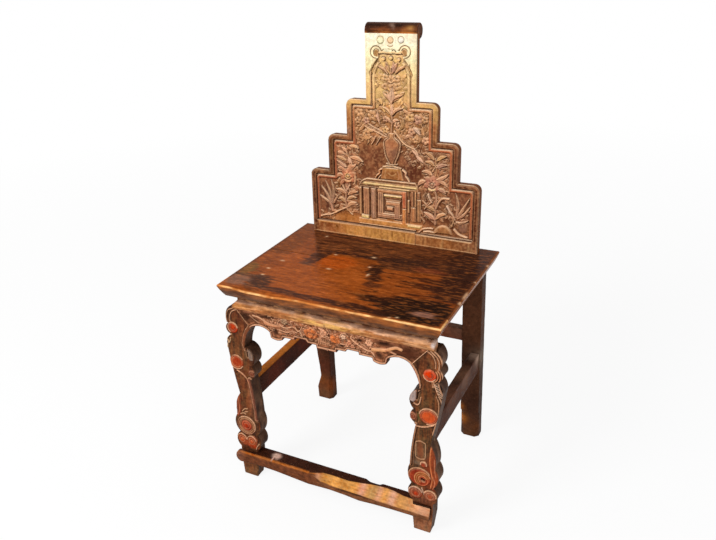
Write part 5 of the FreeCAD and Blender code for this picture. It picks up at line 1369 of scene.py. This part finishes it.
for breadth, colour, *points in (
        (6, (62, 46, 37), -158, 78, -174, 82, -192, 94), (7, (66, 50, 41), -159, 78, -172, 96, -187, 118),
        (6, (60, 45, 37), -158, 78, -154, 106, -160, 136), (6, (68, 47, 36), -157, 76, -150, 84, -142, 98),
        (5, (56, 41, 33), -160, 84, -164, 104, -176, 132), (6, (62, 44, 37), 160, 80, 164, 108, 157, 138),
        (6, (68, 49, 38), 162, 80, 178, 104, 190, 128), (6, (66, 46, 36), 163, 78, 180, 90, 193, 110),
        (5, (60, 42, 34), 158, 74, 150, 84, 140, 92), (6, (64, 43, 32), 161, 70, 172, 68, 188, 76),
        (8, (74, 52, 38), -120, 106, -133, 112, -147, 115), (8, (78, 54, 38), -114, 104, -102, 111, -88, 113),
        (8, (82, 60, 44), -117, 72, -108, 81, -92, 86), (8, tan_leaf, -122, 84, -133, 92, -142, 90),
        (7, tan_leaf, -116, 92, -104, 98, -92, 98), (7, (96, 77, 65), -111, 195, -107, 187, -102, 179),
        (9, (82, 58, 42), -104, 196, -90, 195, -73, 188), (7, (92, 72, 52), -106, 223, -96, 224, -84, 219),
        (7, pinkish, -138, 206, -130, 206, -120, 202), (7, pinkish, -126, 218, -120, 213, -114, 205),
        (8, pinkish, -112, 168, -100, 172, -90, 182), (8, lavender, -118, 172, -130, 178, -142, 186),
        (8, tan_leaf, -118, 188, -130, 192, -143, 196), (9, (92, 66, 53), 108, 70, 94, 78, 82, 84),
        (8, (86, 62, 44), 112, 71, 122, 81, 137, 86), (8, tan_leaf, 108, 90, 98, 96, 86, 98),
        (8, pinkish, 112, 164, 126, 168, 140, 180), (8, lavender, 112, 192, 124, 198, 136, 200),
        (8, tan_leaf, 106, 196, 96, 202, 84, 204), (8, gold_leaf, 112, 208, 122, 216, 134, 220),
        (8, tan_leaf, 104, 210, 96, 218, 84, 224), (8, pinkish, 100, 174, 90, 180, 76, 180),
        (9, pinkish, 84, 158, 74, 154, 66, 146), (8, pinkish, 118, 160, 128, 158, 138, 150),
        (8, lavender, 116, 142, 126, 140, 134, 134), (8, (78, 50, 36), -124, 140, -130, 132, -134, 124),
        (8, (78, 52, 38), -128, 152, -138, 150, -146, 144), (8, (80, 54, 40), -122, 162, -130, 168, -140,
        168), (8, (80, 54, 40), -110, 166, -106, 174, -96, 176)):
    panel.leaf(points, 1.35 * breadth, 3.2, colour)
    # a dark cut just below the outer half of each leaf: painted shade under it
    panel.groove(np.reshape(points[2:], (-1, 2)) + (0.6, -0.6 * breadth), 2.4, 1, (30, 15, 8))
for cx, cz, petal, heart, cup in (
        (-113, 149, (76, 48, 35), (74, 58, 33), (84, 60, 40)), (101, 151, (68, 44, 36), (62, 42, 35),
        (98, 88, 64))):
    panel.bloom(cx, cz + 2, 22, 6, 3.2, petal, 0.3)
    panel.bloom(cx, cz + 1, 15, 7, 3.6, tuple(1.12 * c for c in petal), 0.9)
    panel.disc(cx, cz + 1, 8, 3.7, heart, (0.55,))
    # the dark arc under each flower's heart is painted shade; the pale spot above right is a painted
    # highlight
    panel.groove(circle(cx, cz + 3, 11, 3.7, 5.7), 3, 1.4, (24, 11, 6))
    panel.ridge(circle(cx, cz + 1, 13.5, 4.1, 5.3), 4.6, 3.7, cup, 0)
    panel.wash(((92, 80, 68), cx + 4, cz + 5, 6, 5, 0.7))
panel.plate(bent([104, 36, 110, 46, 118, 54, 130, 58, 142, 54, 149, 46, 152, 36]), 3, (68, 46, 28), 4)
panel.plate(bent([170, 46, 167, 58, 172, 70, 180, 73, 187, 64, 186, 50, 178, 44]), 1.6, (54, 38, 30), 5)
ground = held(1.4 - (panel.height - field_level) / 0.9) * (~outer) * (z > 52)
panel.tint(whole, 0.34 * ground * (z < 250), (34, 18, 13))
panel.tint(whole, 0.34 * ground * (z >= 330), (97, 84, 56))
for k in range(3):
    blurred = panel.softened(panel.paint[..., k], 2.4)
    panel.paint[..., k] = np.where(outer | band, panel.paint[..., k], 0.5 * (panel.paint[..., k] + blurred))
panel.mottle((94, 70, 48), (34, 14, 7), 4, 0.2, 24)
panel.mottle((78, 50, 33), (40, 17, 9), 26, 0.22, 27)
for sign in (-1, 1):
    panel.round_edge([(sign * px, pz) for px, pz in edge], 2.2)
panel.height *= field_depth / -field_level
# rubbed highs, painted shade in the lows, and painted light and shade on the slopes
panel.wear_and_painted_shading((95, 72, 48), (20, 7, 3), 0.62, 3)
panel.wear_and_painted_shading((100, 90, 78), (24, 9, 4), 0.55, 1.2)
glaze = held((340 - z) / 60)[..., None]
panel.paint *= 1 - glaze * np.array([0.02, 0.07, 0.11])
for sign, strip_tone, bead_tone, dark in (
        (-1, (18, 9, 5), (60, 29, 18), (0.15, 0.4)), (1, (30, 14, 9), (70, 35, 20), (0.03, 0.3))):
    strip = outer & (sign * x > 0) & (z > 30) & (z < 262)
    panel.tint(strip, np.interp(z, [160, 175, 212, 262], [dark[0], dark[1], dark[1], 0])[strip], strip_tone)
    for line, wide, amount, tone in ((bead_line, 1.9, 0.75, bead_tone), (groove_line, 1.5, 0.8, (33, 15, 8))):
        part, gap, up = near_line(line, sign, 4)
        panel.tint(part, amount * bell(gap, 0, wide) * held((325 - up) / 60), tone)
for line, wide, tone in (
        ([-201, 31, -60, 31.5, 60, 32], 2.6, (40, 19, 9)), ([62, 29.5, 198, 28], 2.2, (36, 19, 12)),
        ([-198, 27, -60, 27.5, 60, 27.5], 1.4, (84, 56, 28))):
    part, gap, _ = near_line(line, 1, 5)
    panel.tint(part, 0.7 * bell(gap, 0, wide), tone)


def lean(x, depth, rise):
    """A point of the back from its place across, behind and up its face."""
    rise = np.maximum(rise, depth * tan(back_rake))
    y = back_front_y + depth * cos(back_rake) + rise * sin(back_rake)
    return np.stack([x, y, seat_height + rise * cos(back_rake) - depth * sin(back_rake)], -1)


def back_board(name, node, xs, zs, inside, side):
    """A board of the back: the carved face, its edges, and a plain rear."""
    rows, cols = len(zs), len(xs)
    x, z = np.meshgrid(xs, zs)
    for half, top in zip(tier_half_widths[:3], tier_tops[:3]):
        a, b = (x - half + tier_corner) / tier_corner, (z - top + tier_corner) / tier_corner
        at = (a > 0) & (b > 0) & (a <= 1.001) & (b <= 1.001)
        x = np.where(at, half - tier_corner + tier_corner * a * np.sqrt(held(1 - b * b / 2)), x)
        z = np.where(at, top - tier_corner + tier_corner * b * np.sqrt(held(1 - a * a / 2)), z)
    middle_x, middle_z = np.meshgrid((xs[1:] + xs[:-1]) / 2, (zs[1:] + zs[:-1]) / 2)
    kept = inside(middle_x, middle_z)
    height, colour = panel.sample(side * x, z)
    front = lean(side * x, -height, z).reshape(-1, 3)
    corner = np.arange(rows * cols).reshape(rows, cols)
    faces = np.stack([corner[:-1, :-1], corner[:-1, 1:], corner[1:, 1:], corner[1:, :-1]], -1)[kept].tolist()
    after = dict.fromkeys((a, b) for face in faces for a, b in zip(face, face[1:] + face[:1]))
    rim = {a: b for a, b in after if (b, a) not in after}
    ring = [next(iter(rim))]
    while rim[ring[-1]] != ring[0]:
        ring.append(rim[ring[-1]])
    flat_x, flat_z = x.ravel()[ring], z.ravel()[ring]
    out_x = np.roll(flat_z, -1) - np.roll(flat_z, 1)
    out_z = np.roll(flat_x, 1) - np.roll(flat_x, -1)
    length = np.maximum(np.hypot(out_x, out_z), 1e-6)
    points, shades, first = [front], [colour.reshape(-1, 3)], len(front)
    edge_shade = 0.06 * colour.reshape(-1, 3)[ring] + 0.94 * linear((46, 25, 10))
    last = ring
    for depth, inset in ((5, 0), (11, 0.2), (17, 0.3), (back_thickness - 0.9, 0.8), (back_thickness, 1.4)):
        rx, rz = flat_x - inset * out_x / length, flat_z - inset * out_z / length
        points.append(lean(side * rx, np.full(len(ring), float(depth)), np.maximum(rz, 0)))
        shades.append(edge_shade if depth < 18 else np.tile(linear((47, 27, 13)), (len(ring), 1)))
        here = list(range(first, first + len(ring)))
        first += len(ring)
        faces += zip(last, here, here[1:] + here[:1], last[1:] + last[:1])
        last = here
    faces.append(last)
    used = np.unique(np.concatenate(faces))
    renumber = np.full(first, -1)
    renumber[used] = np.arange(len(used))
    faces = [renumber[np.array(f)].tolist() for f in faces]
    assemble(name, [(np.vstack(points)[used], faces, np.vstack(shades)[used])], node, "gilt_lacquer",
             gilt_lacquer, back_wood, face_kinds=[0] * (len(faces) - 1) + [1])


gilt_lacquer = lacquered("gilt_lacquer", (60, 60, 60), streaks=0.15, rough=(0.3, 0.5), pits=0.3,
    fleck=(36, 18, 9), specular=0.015, blotch=(0.8, 1.18), blotch_scale=190, chip_from=0.6)
back_wood = lacquered("back_wood", (160, 160, 14), streaks=0.5, rough=(0.55, 0.75))
third, second, first_half = tier_half_widths[2], tier_half_widths[1], tier_half_widths[0]
wing_zs = np.concatenate([np.linspace(0, 161, 162), np.linspace(161, 249, 89)[1:],
    np.linspace(249, 334, 86)[1:]])
wing_xs = np.concatenate([np.linspace(62, third, 52), np.linspace(third, second, 52)[1:],
    np.linspace(second, first_half, 52)[1:]])


def wing_shape(x, z):
    """Whether a place belongs to the three steps of a wing."""
    return (z < tier_tops[0]) | ((z < tier_tops[1]) & (x < second)) | ((z < tier_tops[2]) & (x < third))


back_board("carved_centre", "back_centre_board", np.linspace(-62, 62, 125), np.linspace(0, 478, 479),
    lambda x, z: x < 99, 1)
back_board("carved_wing_right", "back_wing_right", wing_xs, wing_zs, wing_shape, 1)
back_board("carved_wing_left", "back_wing_left", wing_xs, wing_zs, wing_shape, -1)

# The crest: a turned roll housed over the top of the tower, scroll-like, its ends cut with a ring. Dark
# lacquer, with painted highlights: pale spots in the middle, a lighter band over the top and a line along the
# lower front edge.
crest_radius = 17
crest_depth, crest_rise = 17, 483
crest_half = 62
crest_slack, housing_slack, housing_rise = 0.02, 0.1, 0.05


def crest_section(inset):
    """The roll's section: a circle less the housing for the tower, from its front edge over the top."""
    r = crest_radius - crest_slack - inset
    rear, top = back_thickness + housing_slack, tier_tops[3] + housing_rise
    start = acos(max(-1, min(1, (tier_tops[3] - crest_rise) / r)))
    finish = asin(min(1, (rear - crest_depth) / r))
    angles = np.linspace(-start, pi - finish, 56)
    ring = [(crest_depth + r * sin(a), crest_rise + r * cos(a)) for a in angles]
    return (ring + [(rear, z) for z in np.linspace(ring[-1][1], top, 5)[1:]]
            + [(d, top) for d in np.linspace(back_thickness, ring[0][0], 6)[1:-1]])


def crest_piece():
    """The roll, with a ring cut into each end."""
    end_steps = [(0, 7), (0, 5), (0.7, 4.3), (0.7, 3.9), (0, 3.2), (0, 1), (0.35, 0.45), (1, 0.1)]
    stations = end_steps + [(x, 0) for x in np.linspace(2.2, 2 * crest_half - 2.2, 64)]
    stations += [(2 * crest_half - x, inset) for x, inset in end_steps[::-1]]
    loops, shades = [], []
    for x, inset in stations:
        ring = crest_section(inset)
        angle = np.array([atan2(d - crest_depth, z - crest_rise) for d, z in ring])
        depth = np.array([d for d, _ in ring]) - 0.15 * np.sin(0.3 * x + 3 * angle) ** 2
        rise = np.array([z for _, z in ring])
        loops.append(lean(np.full(len(ring), x - crest_half), depth, rise))
        uneven = cloud(np.full(len(ring), x / 5), 12 * angle, 5, 61)[:, None]
        tone = linear((17, 9, 6)) * (1 + 0.5 * uneven)
        low_front = held(bell(angle, -1.4, 0.36)[:, None] * (0.8 + 0.7 * uneven))
        tone = mixed(tone, linear((47, 25, 12)), low_front)
        # a lighter band over the top: painted light
        upper = bell(angle, -0.3, 0.35)[:, None] * 0.5
        tone = mixed(tone, linear((36, 22, 15)), upper)
        # a painted highlight line along the lower front edge
        edge = bell(angle, -1.84, 0.16)[:, None] * held(0.75 + uneven)
        tone = mixed(tone, linear((78, 46, 20)), edge)
        # the first three spots, pale in the middle, are a painted highlight
        for cx, ca, w, a, colour in (
                (3, -0.75, 3.6, 0.6, (74, 60, 52)), (7, -1.1, 3, 0.5, (74, 58, 48)), (-3, -0.6, 3, 0.3,
                (66, 52, 44)), (46, -1.2, 9, 0.8, (66, 46, 24)), (34, -1.45, 7, 0.5, (60, 36, 16)),
                (-30, -1.5, 16, 0.4, (56, 30, 12))):
            near = np.exp(-((x - crest_half - cx) / w) ** 2 - ((angle - ca) / 0.3) ** 2)[:, None]
            tone = mixed(tone, linear(colour), near * a * (0.8 + 0.6 * uneven))
        if inset > 0:
            shade = 0.25 if 3.5 < inset < 4.5 else 1 + 0.4 * uneven
            tone = 0.3 * tone + 0.7 * linear((40, 23, 14)) * shade
        shades.append(tone)
    return skin(np.array(loops), np.array(shades))


crest_lacquer = lacquered("crest_lacquer", (14, 200, 200), streaks=0.35)
assemble("roll_crest", [crest_piece()], "crest_scroll", "dark_lacquer", crest_lacquer)

# The pegs that lock the joints and the dowels between boards, split from bamboo: end grain shows as
# close pale dots in a darker ring.


def bamboo_material():
    """Split bamboo: straight fibres, paler cores, stained by the lacquer around it."""
    material, add, surface, link = wood_nodes("bamboo")
    place = add("TexCoord").outputs["Object"]
    dots = add("TexVoronoi", {"Vector": place, "Scale": 900})
    blotch = add("TexNoise", {"Vector": place, "Scale": 160, "Detail": 4})
    near = add("MapRange", {"Value": dots.outputs["Distance"], "From Min": 0.1, "From Max": 0.6})
    core, ring, soaked = ((*linear(c), 1) for c in ((64, 50, 30), (42, 28, 16), (30, 19, 12)))
    colour = add("Mix", {0: near.outputs["Result"], 6: core, 7: ring}, data_type="RGBA")
    stain = add("Mix", {0: blotch.outputs["Fac"], 6: colour.outputs[2], 7: soaked}, data_type="RGBA")
    link.new(stain.outputs[2], surface.inputs["Base Color"])
    surface.inputs["Roughness"].default_value = 0.6
    bump = add("Bump", {"Height": dots.outputs["Distance"], "Strength": 0.3, "Distance": 0.0003})
    link.new(bump.outputs["Normal"], surface.inputs["Normal"])
    return material


bamboo = bamboo_material()
for node in (
        "seat_dowels", "back_dowels", "back_tenon_pegs", "stretcher_pegs", "rail_pegs", "foot_rail_pegs"):
    for place in bpy.data.objects[node].material_slots:
        place.material = bamboo

# The studio: a pale floor, a soft lamp high on the left in front, a weaker one on the right, and the
# camera in front on the right, above the seat.
camera_yaw, camera_pitch, camera_roll = 27.6825, 24.738, -2.7429
camera_place = (0.67085, seat_front_y - 1.10843, 1.18386)
lens_length, lens_shift = 36.48, (0.00047, -0.00865)
sky_strength = 0.62
floor_share = 0.88


def shows_to_camera(add):
    """1 for what the camera sees directly or in a mirror or glass, and 0 for light on the chair."""
    path = add("LightPath")
    first = add("Math", {0: path.outputs["Is Camera Ray"], 1: path.outputs["Is Glossy Ray"]},
        operation="MAXIMUM")
    return add("Math", {0: first.outputs[0], 1: path.outputs["Is Transmission Ray"]},
        operation="MAXIMUM").outputs[0]


material, add, surface, link = wood_nodes("studio_floor")
surface.inputs["Base Color"].default_value = (0.9, 0.9, 0.9, 1)
surface.inputs["Roughness"].default_value = 1
surface.inputs["Specular IOR Level"].default_value = 0
glow = add("Emission", {"Color": (1, 1, 1, 1), "Strength": 1})
away = add("VectorMath", {0: add("NewGeometry").outputs["Position"]}, operation="LENGTH").outputs["Value"]
white = add("MapRange", {"Value": away, "From Min": 1, "From Max": 3.5, "To Min": floor_share, "To Max": 1})
share = add("Math", {0: shows_to_camera(add), 1: white.outputs["Result"]}, operation="MULTIPLY")
lit_floor = add("MixShader", {"Fac": share.outputs[0], 1: surface.outputs[0], 2: glow.outputs[0]})
output = next(n for n in material.node_tree.nodes if n.type == "OUTPUT_MATERIAL")
link.new(lit_floor.outputs[0], output.inputs["Surface"])
floor_mesh = bpy.data.meshes.new("floor")
floor_mesh.from_pydata([(-40, -40, 0), (40, -40, 0), (40, 40, 0), (-40, 40, 0)], [], [(0, 1, 2, 3)])
floor = bpy.data.objects.new("floor", floor_mesh)
bpy.context.scene.collection.objects.link(floor)
floor_mesh.materials.append(material)

world = bpy.data.worlds.new("studio")
bpy.context.scene.world = world
world.use_nodes = True
tree = world.node_tree
add_to_sky = node_maker(tree)
level = add_to_sky("MapRange", {"Value": shows_to_camera(add_to_sky), "To Min": sky_strength, "To Max": 1})
sky = next(n for n in tree.nodes if n.type == "BACKGROUND")
sky.inputs["Color"].default_value = (1, 1, 1, 1)
tree.links.new(level.outputs["Result"], sky.inputs["Strength"])


def soft_lamp(name, place, size, watts):
    """A square lamp turned to the middle of the chair."""
    lamp = bpy.data.objects.new(name, bpy.data.lights.new(name, "AREA"))
    lamp.data.shape = "SQUARE"
    lamp.data.size = size
    lamp.data.energy = watts
    aim = Vector((0, 0, 0.5)) - Vector(place)
    lamp.matrix_world = Matrix.Translation(place) @ aim.to_track_quat("-Z", "Y").to_matrix().to_4x4()
    bpy.context.scene.collection.objects.link(lamp)


soft_lamp("key_lamp", (-1.3, -2.2, 2.4), 1.1, 62)
soft_lamp("fill_lamp", (2.2, -1.6, 1.5), 1.4, 12)

camera = bpy.data.objects.new("camera", bpy.data.cameras.new("camera"))
bpy.context.scene.collection.objects.link(camera)
camera.data.sensor_width = 36
camera.data.lens = lens_length
camera.data.shift_x, camera.data.shift_y = lens_shift
turned = Matrix.Translation(camera_place)
for degrees, axis in ((camera_yaw, "Z"), (90 - camera_pitch, "X"), (camera_roll, "Z")):
    turned = turned @ Matrix.Rotation(radians(degrees), 4, axis)
camera.matrix_world = turned
bpy.context.scene.camera = camera
bpy.context.scene.view_settings.view_transform = "Standard"
